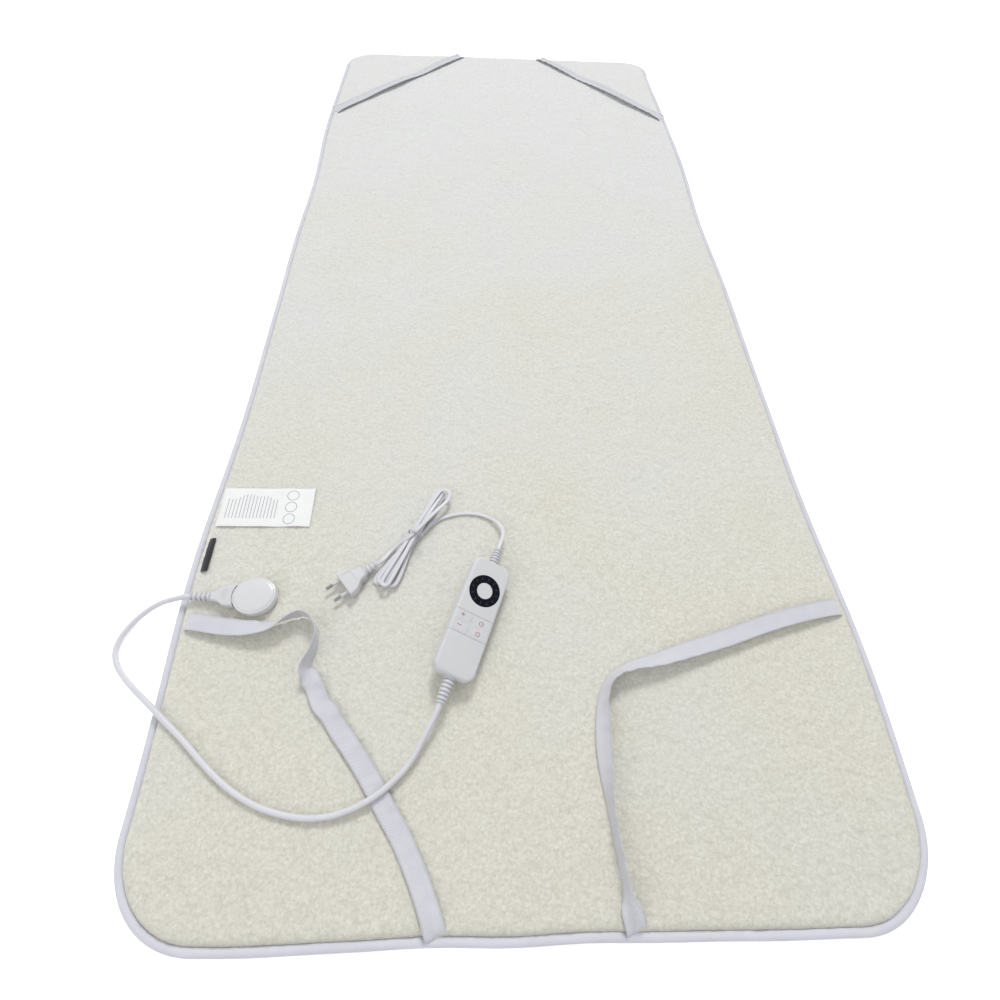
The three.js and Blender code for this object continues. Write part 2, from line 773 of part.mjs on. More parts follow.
const onBoard = boardTop + gap;
place("controller_board", "board", makeControllerBoard(), controller);
place(
  "display_module", "component", rod(13, onBoard, faceInside - gap, 0, ringOffset, 16),
  controller);
place("relay", "component", block(12, 15, onBoard, onBoard + 6.5, -9, -36), controller);
place("capacitor", "component", rod(4, onBoard, onBoard + 6.8, 10, -38, 12), controller);

const keyTop = controllerHeight + keyProud;
const switchTop = onBoard + switchHeight;
const stemBottom = switchTop + keyTravel + 0.1;
for (const [name, x, y] of keys) {
  const cap = softSlab(keyOutline(0), keyTop - keyCapThickness, keyTop, 0.3, 2, 1);
  const stem = rod(keyStemRadius, stemBottom, keyTop - 1, 0, 0, 8);
  place(name, "shell", join(cap, stem).translate(x, y, 0), controller);
  const tact = block(switchSize, switchSize, onBoard, switchTop, x, y);
  place(name.replace("key", "switch"), "component", tact, controller);
}

screwSpots.forEach(([x, y], index) => {
  const screw = turned([[0, 0.5], [screwHead, 0.5], [screwHead, 2], [screwShank, 2],
    [screwShank, 15], [0, 15.6]], 8);
  place(`controller_screw_${index + 1}`, "metal", screw.translate(x, y, 0), controller);
});

const bootSides = 10;
const bootFlange = bootNeck + 1.8;
const bootInside = controllerLength / 2 - bootHeld;
const leadBoot = turned(bootProfile(
  bootFlange, bootNeck, bootHeld + gap, bootRadius, 4.6, leadBootLength, 6), bootSides);
const mainsBoot = turned(bootProfile(
  bootFlange, bootNeck, bootHeld + gap, bootRadius - 0.4, 3.8, mainsBootLength, 5), bootSides);
place(
  "lead_strain_relief", "shell",
  leadBoot.rotateX(Math.PI / 2).translate(0, -bootInside, bootAxis), controller);
place(
  "mains_strain_relief", "shell",
  mainsBoot.rotateX(-Math.PI / 2).translate(0, bootInside, bootAxis), controller);

controller.updateMatrix();

function onController(y) {
  return new THREE.Vector3(0, y, bootAxis).applyMatrix4(controller.matrix);
}

// ---- the hank, its tie and the plug ----

const hankFrame = new THREE.Group();
hankFrame.position.set(hankX, hankY, restLevel);
hankFrame.rotation.z = -THREE.MathUtils.degToRad(hankTilt);
footCorner.add(hankFrame);

function makeHank() {
  const end = hankLength / 2 - hankLoopWidth / 2;
  const loop = hankLoopWidth / 2;
  const waist = hankWaist / 2;
  const outline = new THREE.Shape();
  outline.absarc(0, end, loop, 0, Math.PI);
  outline.bezierCurveTo(-loop, end - 25, -waist, 22, -waist, 8);
  outline.lineTo(-waist, -8);
  outline.bezierCurveTo(-waist, -22, -loop, -end + 25, -loop, -end);
  outline.absarc(0, -end, loop, Math.PI, Math.PI * 2);
  outline.bezierCurveTo(loop, -end + 25, waist, -22, waist, -8);
  outline.lineTo(waist, 8);
  outline.bezierCurveTo(waist, 22, loop, end - 25, loop, end);
  return softSlab(outline, 0, hankHeight, 3, 5, 1);
}

function makeTie() {
  const inner = block(hankWaist + 2 * gap, tieWidth + 2, -1, hankHeight + gap);
  const outer = block(
    hankWaist + 2 * (gap + tieThickness), tieWidth, 0, hankHeight + gap + tieThickness);
  return cut(outer, inner);
}

place("mains_hank", "cord", makeHank(), hankFrame);
place("hank_tie", "tape", makeTie(), hankFrame);

const plug = new THREE.Group();
plug.position.set(plugX, plugY, restLevel + plugThickness / 2);
plug.rotation.z = THREE.MathUtils.degToRad(plugHeading);
footCorner.add(plug);

function makePlugBody() {
  const front = plugWidth / 2;
  const back = plugBack / 2;
  const outline = new THREE.Shape();
  outline.moveTo(0, -back);
  outline.bezierCurveTo(9, -back, 12, -front + 3, plugLength - 9, -front + 1);
  outline.lineTo(plugLength, -front);
  outline.lineTo(plugLength, front);
  outline.lineTo(plugLength - 9, front - 1);
  outline.bezierCurveTo(12, front - 3, 9, back, 0, back);
  const body = softSlab(outline, -plugThickness / 2, plugThickness / 2, 2.2, 5);
  const seats = [-1, 1].map((side) => alongX(
    rod(plugPinRadius + gap, 0, 7, 0, 0, 12), plugLength - 6, (side * plugPinPitch) / 2, 0));
  return cut(body, ...seats);
}

place("plug_body", "shell", makePlugBody(), plug);
for (const [name, side] of [["plug_pin_left", -1], ["plug_pin_right", 1]]) {
  const length = plugPinLength + 5.5;
  const pin = turned([
    [0, 0], [plugPinRadius, 0], [plugPinRadius, length - 1], [plugPinRadius - 1, length],
    [0, length],
  ], 12);
  place(name, "metal", alongX(pin, plugLength - 5.5, (side * plugPinPitch) / 2, 0), plug);
}
const plugBootShape = turned(bootProfile(0, 0, 0, plugBootRadius, 3.6, plugBootLength, 4), 10);
place(
  "plug_strain_relief", "shell",
  plugBootShape.rotateY(-Math.PI / 2).translate(-gap, 0, 0), plug);
plug.updateMatrix();

// ---- cords: hand-laid points, each tube stopping short of what it enters ----

const leadBootEnd = bootInside + bootHeld + gap + leadBootLength + gap;
const mainsBootEnd = bootInside + bootHeld + gap + mainsBootLength + gap;
const leadEnd = onController(-leadBootEnd);
const mainsStart = onController(mainsBootEnd);
const leadStart = [socketX + connectorBack - connectorBoot - 2 * gap, socketY, connectorAxis];

function onPlug(x) {
  return new THREE.Vector3(x, 0, 0).applyMatrix4(plug.matrix);
}

const tailEnd = onPlug(-plugBootLength - 2 * gap);

const leadRoute = [
  leadStart,
  [leadStart[0] - 5, socketY, connectorAxis - 0.2],
  [-2, 332, 19.5], [-23, 328, 14], [-41, 319, 8], [-55, 305, 4], [-62, 289, 3.3],
  [-62, 273, 3.3], [-54, 258, 4], [-40, 244, 7.6], [-22, 230, 13.6], [-3, 216, 18.6],
  [19, 199, 19.8], [44, 179, 18.8], [72, 155, 18.7], [100, 134, 18.7], [130, 118, 18.7],
  [160, 109, 18.7], [185, 106, 19.1], [208, 108, 20.2], [232, 116, 21.6], [250, 126, 22],
  [268, 141, 22.3], [281, 156, 24.2], [291, 174, 28],
  onController(-leadBootEnd - 8).toArray(), leadEnd.toArray(),
];
place("lead_cord", "cord", cordAlong(leadRoute, roundSection(leadDiameter, 8), 34), footCorner);

const mainsRoute = [
  mainsStart.toArray(), onController(mainsBootEnd + 6).toArray(),
  [379, 416, 25], [374, 431, 20.5], [362, 442, 17.8], [346, 448, 17.2],
  [329, 449, 17.2], [312, 446, 17.2], [298, 440.5, 17.2],
];
const mainsSection = flatSection(mainsThickness, mainsWidth);
place("mains_cord", "cord", cordAlong(mainsRoute, mainsSection, 14), footCorner);

const tailRoute = [
  [247, 402, 18], [239, 393, 19], [233, 386, 21],
  onPlug(-plugBootLength - 5).toArray(), tailEnd.toArray(),
];
place("mains_cord_tail", "cord", cordAlong(tailRoute, mainsSection, 6), footCorner);

export default underblanket;
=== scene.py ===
import json
import math

import bmesh
import bpy
import numpy as np
from mathutils import Matrix, Vector


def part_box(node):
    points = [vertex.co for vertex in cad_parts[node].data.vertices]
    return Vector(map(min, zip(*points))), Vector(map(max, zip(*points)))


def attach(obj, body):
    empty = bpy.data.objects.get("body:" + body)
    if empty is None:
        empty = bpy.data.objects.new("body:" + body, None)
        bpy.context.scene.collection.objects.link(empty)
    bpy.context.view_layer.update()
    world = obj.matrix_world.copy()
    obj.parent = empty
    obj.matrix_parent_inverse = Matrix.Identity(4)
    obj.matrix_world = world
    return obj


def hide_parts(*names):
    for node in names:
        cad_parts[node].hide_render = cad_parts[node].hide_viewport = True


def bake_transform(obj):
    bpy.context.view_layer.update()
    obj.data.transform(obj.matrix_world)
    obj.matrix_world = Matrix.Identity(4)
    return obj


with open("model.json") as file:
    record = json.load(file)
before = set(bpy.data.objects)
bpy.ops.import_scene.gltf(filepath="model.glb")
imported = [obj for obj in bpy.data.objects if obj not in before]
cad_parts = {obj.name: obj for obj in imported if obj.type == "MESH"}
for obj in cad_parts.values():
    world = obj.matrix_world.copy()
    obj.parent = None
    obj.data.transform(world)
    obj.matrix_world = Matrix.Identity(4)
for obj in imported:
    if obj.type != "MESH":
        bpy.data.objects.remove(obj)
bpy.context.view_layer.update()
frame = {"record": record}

mm = 0.001

# view, floor and light

viewpoint = {
    "place": (-0.0541, -0.8683, 0.6371),
    "down": math.radians(57.9),
    "turn": math.radians(-4.476),
    "lean": math.radians(3.933),
    "lens": 19.8,
    "sensor": 36,
}


def addCamera():
    down, turn, lean = viewpoint["down"], viewpoint["turn"], viewpoint["lean"]
    forward = Vector((
        -math.sin(turn) * math.cos(down), math.cos(turn) * math.cos(down), -math.sin(down)))
    level = Vector((math.cos(turn), math.sin(turn), 0))
    below = forward.cross(level)
    across = level * math.cos(lean) - below * math.sin(lean)
    upward = -(level * math.sin(lean) + below * math.cos(lean))
    bpy.ops.object.camera_add(location=viewpoint["place"])
    camera = bpy.context.object
    camera.rotation_euler = Matrix((across, upward, -forward)).transposed().to_euler()
    camera.data.lens = viewpoint["lens"]
    camera.data.sensor_width = viewpoint["sensor"]
    bpy.context.scene.camera = camera


studio = {
    "floorSize": 30,
    "floorGlow": 0.32,
    "skyStrength": 0.63,
    "skyColour": (0.97, 0.98, 1.0),
    "keyPower": 760,
    "keyPlace": (1.2, 8.0, 9.0),
    "keySize": 3.0,
    "fillPower": 30,
    "fillPlace": (-2.2, -2.6, 2.6),
    "fillSize": 3.0,
}


def addLamp(name, place, power, size):
    bpy.ops.object.light_add(type="AREA", location=place)
    lamp = bpy.context.object
    lamp.name = name
    lamp.data.energy = power
    lamp.data.size = size
    lamp.rotation_euler = (-Vector(place)).to_track_quat("-Z", "Y").to_euler()


def addStudio():
    world = bpy.data.worlds.new("softSky")
    world.use_nodes = True
    sky = world.node_tree.nodes["Background"]
    sky.inputs["Color"].default_value = (*studio["skyColour"], 1)
    sky.inputs["Strength"].default_value = studio["skyStrength"]
    bpy.context.scene.world = world
    bpy.context.scene.view_settings.view_transform = "Standard"
    addLamp("keyLamp", studio["keyPlace"], studio["keyPower"], studio["keySize"])
    addLamp("fillLamp", studio["fillPlace"], studio["fillPower"], studio["fillSize"])
    bpy.ops.mesh.primitive_plane_add(size=studio["floorSize"], location=(0, 0, -0.4 * mm))
    floor = bpy.context.object
    floor.name = "paleFloor"
    bpy.ops.object.transform_apply(location=True)
    paint = bpy.data.materials.new("floorPaint")
    paint.use_nodes = True
    shader = paint.node_tree.nodes["Principled BSDF"]
    shader.inputs["Base Color"].default_value = (0.98, 0.98, 0.98, 1)
    shader.inputs["Roughness"].default_value = 0.9
    shader.inputs["Emission Color"].default_value = (1, 1, 1, 1)
    shader.inputs["Emission Strength"].default_value = studio["floorGlow"]
    floor.data.materials.append(paint)


bpy.ops.object.select_all(action="DESELECT")
addCamera()
addStudio()
print("stage: camera, floor and light")

# mesh tools


def startPiece(name):
    piece = bpy.context.object
    piece.name = name
    piece.data.name = name
    return piece


def only(piece):
    bpy.ops.object.select_all(action="DESELECT")
    piece.select_set(True)
    bpy.context.view_layer.objects.active = piece


def settle(piece):
    only(piece)
    bpy.ops.object.transform_apply(location=True, rotation=True, scale=True)


def edit(piece, *steps):
    only(piece)
    bpy.ops.object.mode_set(mode="EDIT")
    for step in steps:
        step()
    bpy.ops.object.mode_set(mode="OBJECT")


def selectAll():
    bpy.ops.mesh.select_all(action="SELECT")


def chooseEdges(test):
    # edges whose two ends pass the test are selected in the open mesh
    def choose():
        bpy.ops.mesh.select_mode(type="EDGE")
        bpy.ops.mesh.select_all(action="DESELECT")
        mesh = bmesh.from_edit_mesh(bpy.context.edit_object.data)
        for edge in mesh.edges:
            if test(edge.verts[0].co, edge.verts[1].co):
                edge.select_set(True)
        bmesh.update_edit_mesh(bpy.context.edit_object.data)
    return choose


def bevelChosen(offset, segments):
    return lambda: bpy.ops.mesh.bevel(offset=offset, segments=segments, affect="EDGES")


def applyModifier(piece, kind, **settings):
    only(piece)
    modifier = piece.modifiers.new(kind.title(), kind)
    for key, value in settings.items():
        setattr(modifier, key, value)
    bpy.ops.object.modifier_apply(modifier=modifier.name)


def cutWith(piece, cutter, operation="DIFFERENCE"):
    applyModifier(piece, "BOOLEAN", object=cutter, operation=operation, solver="EXACT")
    bpy.data.objects.remove(cutter)


def smooth(piece, angle=35):
    only(piece)
    bpy.ops.object.shade_smooth_by_angle(angle=math.radians(angle))


def vertexArray(piece):
    flat = np.empty(len(piece.data.vertices) * 3)
    piece.data.vertices.foreach_get("co", flat)
    return flat.reshape(-1, 3)


def setVertices(piece, places):
    piece.data.vertices.foreach_set("co", np.ascontiguousarray(places).ravel())
    piece.data.update()


def scaleMap(piece, acrossSize, alongSize):
    # the piece's UV map is stretched so that it reads in metres
    layer = piece.data.uv_layers[0]
    flat = np.empty(len(layer.uv) * 2)
    layer.uv.foreach_get("vector", flat)
    flat = flat.reshape(-1, 2) * (acrossSize, alongSize)
    layer.uv.foreach_set("vector", flat.ravel())


def skin(name, rings, around=True, loop=False, mapSize=None):
    # a grid laid over rings of points, one ring for each station; around closes each ring
    rings = np.asarray(rings)
    if around:
        rings = np.concatenate([rings, rings[:, :1]], axis=1)
    if loop:
        rings = np.concatenate([rings, rings[:1]], axis=0)
    along, across = rings.shape[0] - 1, rings.shape[1] - 1
    bpy.ops.object.select_all(action="DESELECT")
    bpy.ops.mesh.primitive_grid_add(x_subdivisions=across, y_subdivisions=along, size=1)
    piece = startPiece(name)
    places = vertexArray(piece)
    column = np.rint((places[:, 0] + 0.5) * across).astype(int)
    row = np.rint((places[:, 1] + 0.5) * along).astype(int)
    setVertices(piece, rings[row, column])
    if mapSize:
        scaleMap(piece, *mapSize)
    edit(
        piece, selectAll,
        lambda: bpy.ops.mesh.remove_doubles(threshold=1e-6),
        lambda: around and not loop and bpy.ops.mesh.fill_holes(sides=0),
        selectAll,
        lambda: bpy.ops.mesh.normals_make_consistent(inside=False))
    return piece


def roundedBlock(name, size, corner, edge, cornerSteps=8, edgeSteps=3):
    # a cube of this size in millimetres, with its upright edges rounded and then its rims
    size = [side * mm for side in size]
    bpy.ops.object.select_all(action="DESELECT")
    bpy.ops.mesh.primitive_cube_add(size=1, scale=size)
    block = startPiece(name)
    settle(block)
    half = size[2] / 2

    def upright(a, b):
        return abs(a.x - b.x) + abs(a.y - b.y) < 1e-6

    def rim(a, b):
        return abs(a.z - b.z) < 1e-6 and abs(abs(a.z) - half) < 1e-6

    edit(block, chooseEdges(upright), bevelChosen(corner * mm, cornerSteps))
    if edge:
        edit(block, chooseEdges(rim), bevelChosen(edge * mm, edgeSteps))
    return block


def post(name, radius, bottom, top, sides=48):
    # an upright cylinder, in millimetres
    radius, bottom, top = radius * mm, bottom * mm, top * mm
    bpy.ops.object.select_all(action="DESELECT")
    bpy.ops.mesh.primitive_cylinder_add(
        radius=radius, depth=top - bottom, location=(0, 0, (top + bottom) / 2), vertices=sides)
    piece = startPiece(name)
    settle(piece)
    return piece


def turned(name, profile, sides=40):
    # a round piece on +Z from pairs of height and radius in millimetres, closed at both ends
    angles = np.linspace(0, 2 * np.pi, sides, endpoint=False)
    rings = [
        np.stack([
            radius * mm * np.cos(angles), radius * mm * np.sin(angles),
            np.full(sides, height * mm)], axis=1)
        for height, radius in profile]
    return skin(name, rings)


def move(piece, matrix):
    piece.data.transform(matrix)
    piece.data.update()
    return piece


def at(x=0, y=0, z=0):
    # a place in millimetres
    return Matrix.Translation((x * mm, y * mm, z * mm))


def shift(piece, x=0, y=0, z=0):
    return move(piece, at(x, y, z))


def spin(axis, degrees):
    return Matrix.Rotation(math.radians(degrees), 4, axis)


def cutBlock(piece, size, corner, place, cornerSteps=8):
    # a rounded block is taken out of the piece, all in millimetres
    cutWith(piece, shift(roundedBlock("cut", size, corner, 0, cornerSteps), *place))


def easeStep(value, low, high):
    t = np.clip((np.asarray(value, dtype=float) - low) / (high - low), 0, 1)
    return t * t * (3 - 2 * t)


def gapsSummed(points):
    # the distance gone at each point of a line
    return np.concatenate([[0], np.cumsum(np.linalg.norm(np.diff(points, axis=0), axis=1))])


def catmull(points, spacing):
    # a smooth line through the points, resampled at an even spacing
    points = np.asarray(points, dtype=float)
    points = np.concatenate([[2 * points[0] - points[1]], points, [2 * points[-1] - points[-2]]])
    fine = []
    for a, b, c, d in zip(points, points[1:], points[2:], points[3:]):
        t0 = 0.0
        t1 = t0 + np.linalg.norm(b - a) ** 0.5
        t2 = t1 + np.linalg.norm(c - b) ** 0.5
        t3 = t2 + np.linalg.norm(d - c) ** 0.5
        t = np.linspace(t1, t2, 24, endpoint=False)[:, None]
        ab = (t1 - t) / (t1 - t0) * a + (t - t0) / (t1 - t0) * b
        bc = (t2 - t) / (t2 - t1) * b + (t - t1) / (t2 - t1) * c
        cd = (t3 - t) / (t3 - t2) * c + (t - t2) / (t3 - t2) * d
        abc = (t2 - t) / (t2 - t0) * ab + (t - t0) / (t2 - t0) * bc
        bcd = (t3 - t) / (t3 - t1) * bc + (t - t1) / (t3 - t1) * cd
        fine.append((t2 - t) / (t2 - t1) * abc + (t - t1) / (t2 - t1) * bcd)
    fine = np.concatenate(fine + [points[-2:-1]])
    gone = gapsSummed(fine)
    count = int(round(gone[-1] / spacing)) + 1
    even = np.linspace(0, gone[-1], count)
    return np.stack([np.interp(even, gone, fine[:, i]) for i in range(3)], axis=1), gone[-1]


def lineFrames(path):
    # for each point of a path: the way along, the level way across and the way up from both
    along = np.gradient(path, axis=0)
    along /= np.linalg.norm(along, axis=1)[:, None]
    across = np.cross((0, 0, 1), along)
    across /= np.linalg.norm(across, axis=1)[:, None]
    return along, across, np.cross(along, across)


# materials


fullTurn = 6.2832


def sumOf(operation):
    # a method that puts a value, and any others with it, through one step of arithmetic
    def method(self, *others):
        return self.finish.reckon(operation, self, *others)
    return method


class Value:
    # a socket that takes part in sums

    def __init__(self, finish, socket):
        self.finish = finish
        self.socket = socket

    __add__ = __radd__ = sumOf("ADD")
    __mul__ = __rmul__ = sumOf("MULTIPLY")
    __sub__ = sumOf("SUBTRACT")
    __lt__ = sumOf("LESS_THAN")
    __gt__ = sumOf("GREATER_THAN")
    size = sumOf("ABSOLUTE")
    wave = sumOf("SINE")
    repeat = sumOf("PINGPONG")
    most = sumOf("MAXIMUM")
    root = sumOf("SQRT")

    def __rsub__(self, other):
        return self.finish.reckon("SUBTRACT", other, self)

    def threads(self, pitch):
        # one thread for each pitch across this direction
        return (self * (fullTurn / pitch)).wave()


class Finish:
    # one material: node() adds any node, and feed() sets or links a socket

    def __init__(self, name, roughness, **fixed):
        self.material = bpy.data.materials.new(name)
        self.material.use_nodes = True
        self.tree = self.material.node_tree
        self.shader = self.tree.nodes["Principled BSDF"]
        self.feed(self.shader.inputs["Roughness"], roughness)
        for key, value in fixed.items():
            self.shader.inputs[key.replace("_", " ")].default_value = value

    def feed(self, socket, value):
        if isinstance(value, Value):
            self.tree.links.new(value.socket, socket)
        else:
            socket.default_value = value

    def node(self, kind, settings=None, inputs=(), output=0):
        made = self.tree.nodes.new(kind)
        for key, value in (settings or {}).items():
            setattr(made, key, value)
        pairs = inputs.items() if isinstance(inputs, dict) else enumerate(inputs)
        for key, value in pairs:
            self.feed(made.inputs[key], value)
        return Value(self, made.outputs[output])

    def reckon(self, operation, *inputs):
        return self.node("ShaderNodeMath", {"operation": operation}, inputs)

    def place(self):
        return self.node("ShaderNodeTexCoord", output="Object")

    def mapParts(self):
        # the UV map's two directions, in metres
        both = self.node("ShaderNodeTexCoord", output="UV")
        split = self.node("ShaderNodeSeparateXYZ", None, [both])
        return split, Value(self, split.socket.node.outputs["Y"])

    def noise(self, scale, detail=3, where=None, roughness=0.55):
        return self.node("ShaderNodeTexNoise", None, {
            "Vector": where or self.place(), "Scale": scale, "Detail": detail,
            "Roughness": roughness})

    def clumps(self, scale, where=None):
        return self.node("ShaderNodeTexVoronoi", {"feature": "SMOOTH_F1"}, {
            "Vector": where or self.place(), "Scale": scale, "Smoothness": 0.6})

    def mix(self, mask, first, second):
        made = self.tree.nodes.new("ShaderNodeMix")
        made.data_type = "RGBA"
        self.feed(made.inputs[0], mask)
        self.feed(made.inputs[6], first if isinstance(first, Value) else (*first, 1))
        self.feed(made.inputs[7], second if isinstance(second, Value) else (*second, 1))
        return Value(self, made.outputs[2])

    def colour(self, value):
        self.feed(self.shader.inputs["Base Color"], value)

    def rough(self, value):
        self.feed(self.shader.inputs["Roughness"], value)

    def bump(self, height, distance, strength=1.0):
        normal = self.node("ShaderNodeBump", None, {
            "Height": height, "Distance": distance, "Strength": strength}, "Normal")
        self.feed(self.shader.inputs["Normal"], normal)


def makeFleeceFinish():
    # cream tufts with painted shade darkening the pits between them, mixed with fibre tone that varies
    # at random; warmer towards the foot end, where the painted pit shade is also deeper
    finish = Finish("creamFleece", 0.95, Sheen_Weight=0.2, Sheen_Roughness=0.6)
    both = finish.node("ShaderNodeSeparateXYZ", None, [finish.place()], "Y")
    patches = finish.noise(4, 3)
    foot = both * -0.75 + patches * 1.7 - 0.5
    tufts = finish.clumps(210)
    fibres = finish.noise(1100, 5, roughness=0.75)
    threads = finish.noise(330, 4, roughness=0.7)
    # fibre and thread tone varies at random, and the tufts term paints the pits between tufts darker as
    # shade
    grain = fibres * 2.0 + threads * 2.4 + tufts * 0.5 - 2.02
    light = finish.mix(foot, (0.80, 0.805, 0.785), (0.83, 0.815, 0.72))
    # the darker colour: painted shade for the pits together with random fibre tone, deeper and warmer at
    # the foot end
    pitShadeAndFibreTone = finish.mix(foot, (0.69, 0.695, 0.675), (0.64, 0.615, 0.51))
    finish.colour(finish.mix(grain, light, pitShadeAndFibreTone))
    finish.bump(fibres * 0.8 + threads * 0.8 - tufts * 0.9, 1.6 * mm, 0.75)
    return finish.material


def makeClothFinish():
    finish = Finish("brushedUnderside", 0.9, Sheen_Weight=0.15)
    weave = finish.noise(1400, 2)
    shade = finish.noise(12, 3)
    finish.colour(finish.mix(shade * 0.7 + weave * 0.3, (0.66, 0.66, 0.63), (0.78, 0.78, 0.76)))
    finish.bump(weave, 0.5 * mm, 0.5)
    return finish.material


def makeTapeFinish():
    finish = Finish("bindingTape", 0.8, Sheen_Weight=0.15)
    across, along = finish.mapParts()
    courses = along.threads(1.1 * mm)
    wales = across.threads(0.9 * mm)
    knit = courses * 0.5 + wales * 0.5
    shade = finish.noise(30, 3)
    finish.colour(finish.mix(shade, (0.64, 0.64, 0.71), (0.76, 0.76, 0.82)))
    finish.bump(knit + finish.noise(260, 3) * 1.5, 0.35 * mm, 0.5)
    return finish.material


elastic = {"width": 20 * mm, "twill": 1.7 * mm, "edgeLine": 1.5 * mm}


def makeElasticFinish():
    finish = Finish("elasticBand", 0.5, Sheen_Weight=0.1)
    across, along = finish.mapParts()
    fromMiddle = (across - elastic["width"] / 2).size()
    slant = (fromMiddle + along).threads(elastic["twill"])
    edge = fromMiddle > elastic["width"] / 2 - elastic["edgeLine"]
    ribs = along.threads(0.9 * mm)
    weave = slant * (1 - edge) + ribs * edge
    shade = finish.noise(40, 2)
    tint = finish.mix(shade, (0.76, 0.76, 0.81), (0.84, 0.84, 0.88))
    finish.colour(finish.mix((weave * 0.5 + 0.5) * 0.34 + edge * 0.12, tint, (0.50, 0.50, 0.58)))
    finish.bump(weave + edge * 0.8, 0.3 * mm, 0.8)
    return finish.material


def makeMouldFinish(name, light, dark, roughness, grain=2600, coat=0.0):
    finish = Finish(name, roughness, Coat_Weight=coat, Coat_Roughness=0.15)
    handled = finish.noise(60, 4)
    finish.colour(finish.mix(handled, dark, light))
    finish.rough(handled * 0.18 + (roughness - 0.09))
    finish.bump(finish.noise(grain, 2), 0.05 * mm, 0.35)
    return finish.material


def makeMetalFinish(name, colour, roughness):
    finish = Finish(name, roughness, Metallic=1.0)
    worn = finish.noise(500, 4)
    finish.colour(finish.mix(worn, colour, tuple(c * 0.8 for c in colour)))
    finish.rough(worn * 0.2 + roughness - 0.08)
    finish.bump(finish.noise(3000, 2), 0.02 * mm, 0.3)
    return finish.material


def makeTabFinish():
    finish = Finish("blackTape", 0.75, Sheen_Weight=0.2)
    across, along = finish.mapParts()
    weave = across.threads(0.8 * mm) * along.threads(0.8 * mm)
    finish.colour(finish.mix(weave * 0.5 + 0.5, (0.006, 0.006, 0.009), (0.02, 0.02, 0.026)))
    finish.bump(weave, 0.2 * mm, 0.7)
    return finish.material


casingLight = (0.67, 0.67, 0.68)
casingDark = (0.61, 0.61, 0.625)
fleeceFinish = makeFleeceFinish()
clothFinish = makeClothFinish()
tapeFinish = makeTapeFinish()
elasticFinish = makeElasticFinish()
tabFinish = makeTabFinish()
casingFinish = makeMouldFinish("casing", casingLight, casingDark, 0.42)
socketFinish = makeMouldFinish("socketMoulding", (0.70, 0.70, 0.71), (0.66, 0.66, 0.67), 0.3, coat=0.4)
reliefFinish = makeMouldFinish("reliefVinyl", (0.66, 0.66, 0.69), (0.58, 0.58, 0.62), 0.5)
sheathFinish = makeMouldFinish("cordVinyl", (0.70, 0.70, 0.73), (0.62, 0.62, 0.66), 0.45)
darkFinish = makeMouldFinish("darkComponent", (0.05, 0.05, 0.055), (0.03, 0.03, 0.034), 0.5)
boardFinish = makeMouldFinish("solderResist", (0.05, 0.20, 0.10), (0.03, 0.14, 0.07), 0.4)
feltFinish = makeMouldFinish("needledFelt", (0.70, 0.68, 0.62), (0.60, 0.58, 0.52), 0.9, grain=700)
wireFinish = makeMouldFinish("wireInsulation", (0.80, 0.76, 0.64), (0.74, 0.70, 0.58), 0.5)
tieFinish = makeMouldFinish("coatedTie", (0.56, 0.56, 0.58), (0.42, 0.42, 0.45), 0.35)
platedFinish = makeMetalFinish("nickelPlate", (0.46, 0.46, 0.47), 0.3)
steelFinish = makeMetalFinish("zincPlate", (0.60, 0.61, 0.64), 0.4)
print("stage: materials")


def join(piece, material, slot, *nodes, body="root"):
    # the piece takes its finish, rides on its body and stands for its nodes
    piece.data.materials.clear()
    piece.data.materials.append(material)
    if body:
        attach(piece, body)
    if nodes:
        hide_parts(*nodes)
    return piece


def fit(piece, where, angle, material, slot, *nodes, body="root"):
    # the piece goes to its place, is smoothed and joins the rest
    smooth(move(piece, where), angle)
    return join(piece, material, slot, *nodes, body=body)


# the mat

corner = Vector(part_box("binding_tape")[0])
matTop = Vector(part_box("binding_tape")[1])
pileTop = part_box("top_fleece")[1][2]
onPile = pileTop + 0.3 * mm
mat = {
    "halfWidth": (matTop.x - corner.x) / 2,
    "halfLength": (matTop.y - corner.y) / 2,
    "round": 95 * mm,
    "tape": 12 * mm,
    "overlap": 3.2 * mm,
    "headShort": 14 * mm,
    "footShort": 2.0 * mm,
    "endWave": 2.0 * mm,
    "bow": 5.5 * mm,
    "bowIn": 1.5 * mm,
    # how much fuller the right and the left head corner are than a plain round
    "fuller": (11 * mm, 6 * mm),
    "tapeTop": matTop.z,
    "step": 3 * mm,
    "roll": 9 * mm,
    "underTape": 0.7 * mm,
    "tuftRoom": 0.6 * mm,
    "crown": 1.1 * mm,
    "seam": 0.755,
    "stitch": 3.1 * mm,
    "threadRadius": 0.25 * mm,
    "threadDip": 0.35 * mm,
}


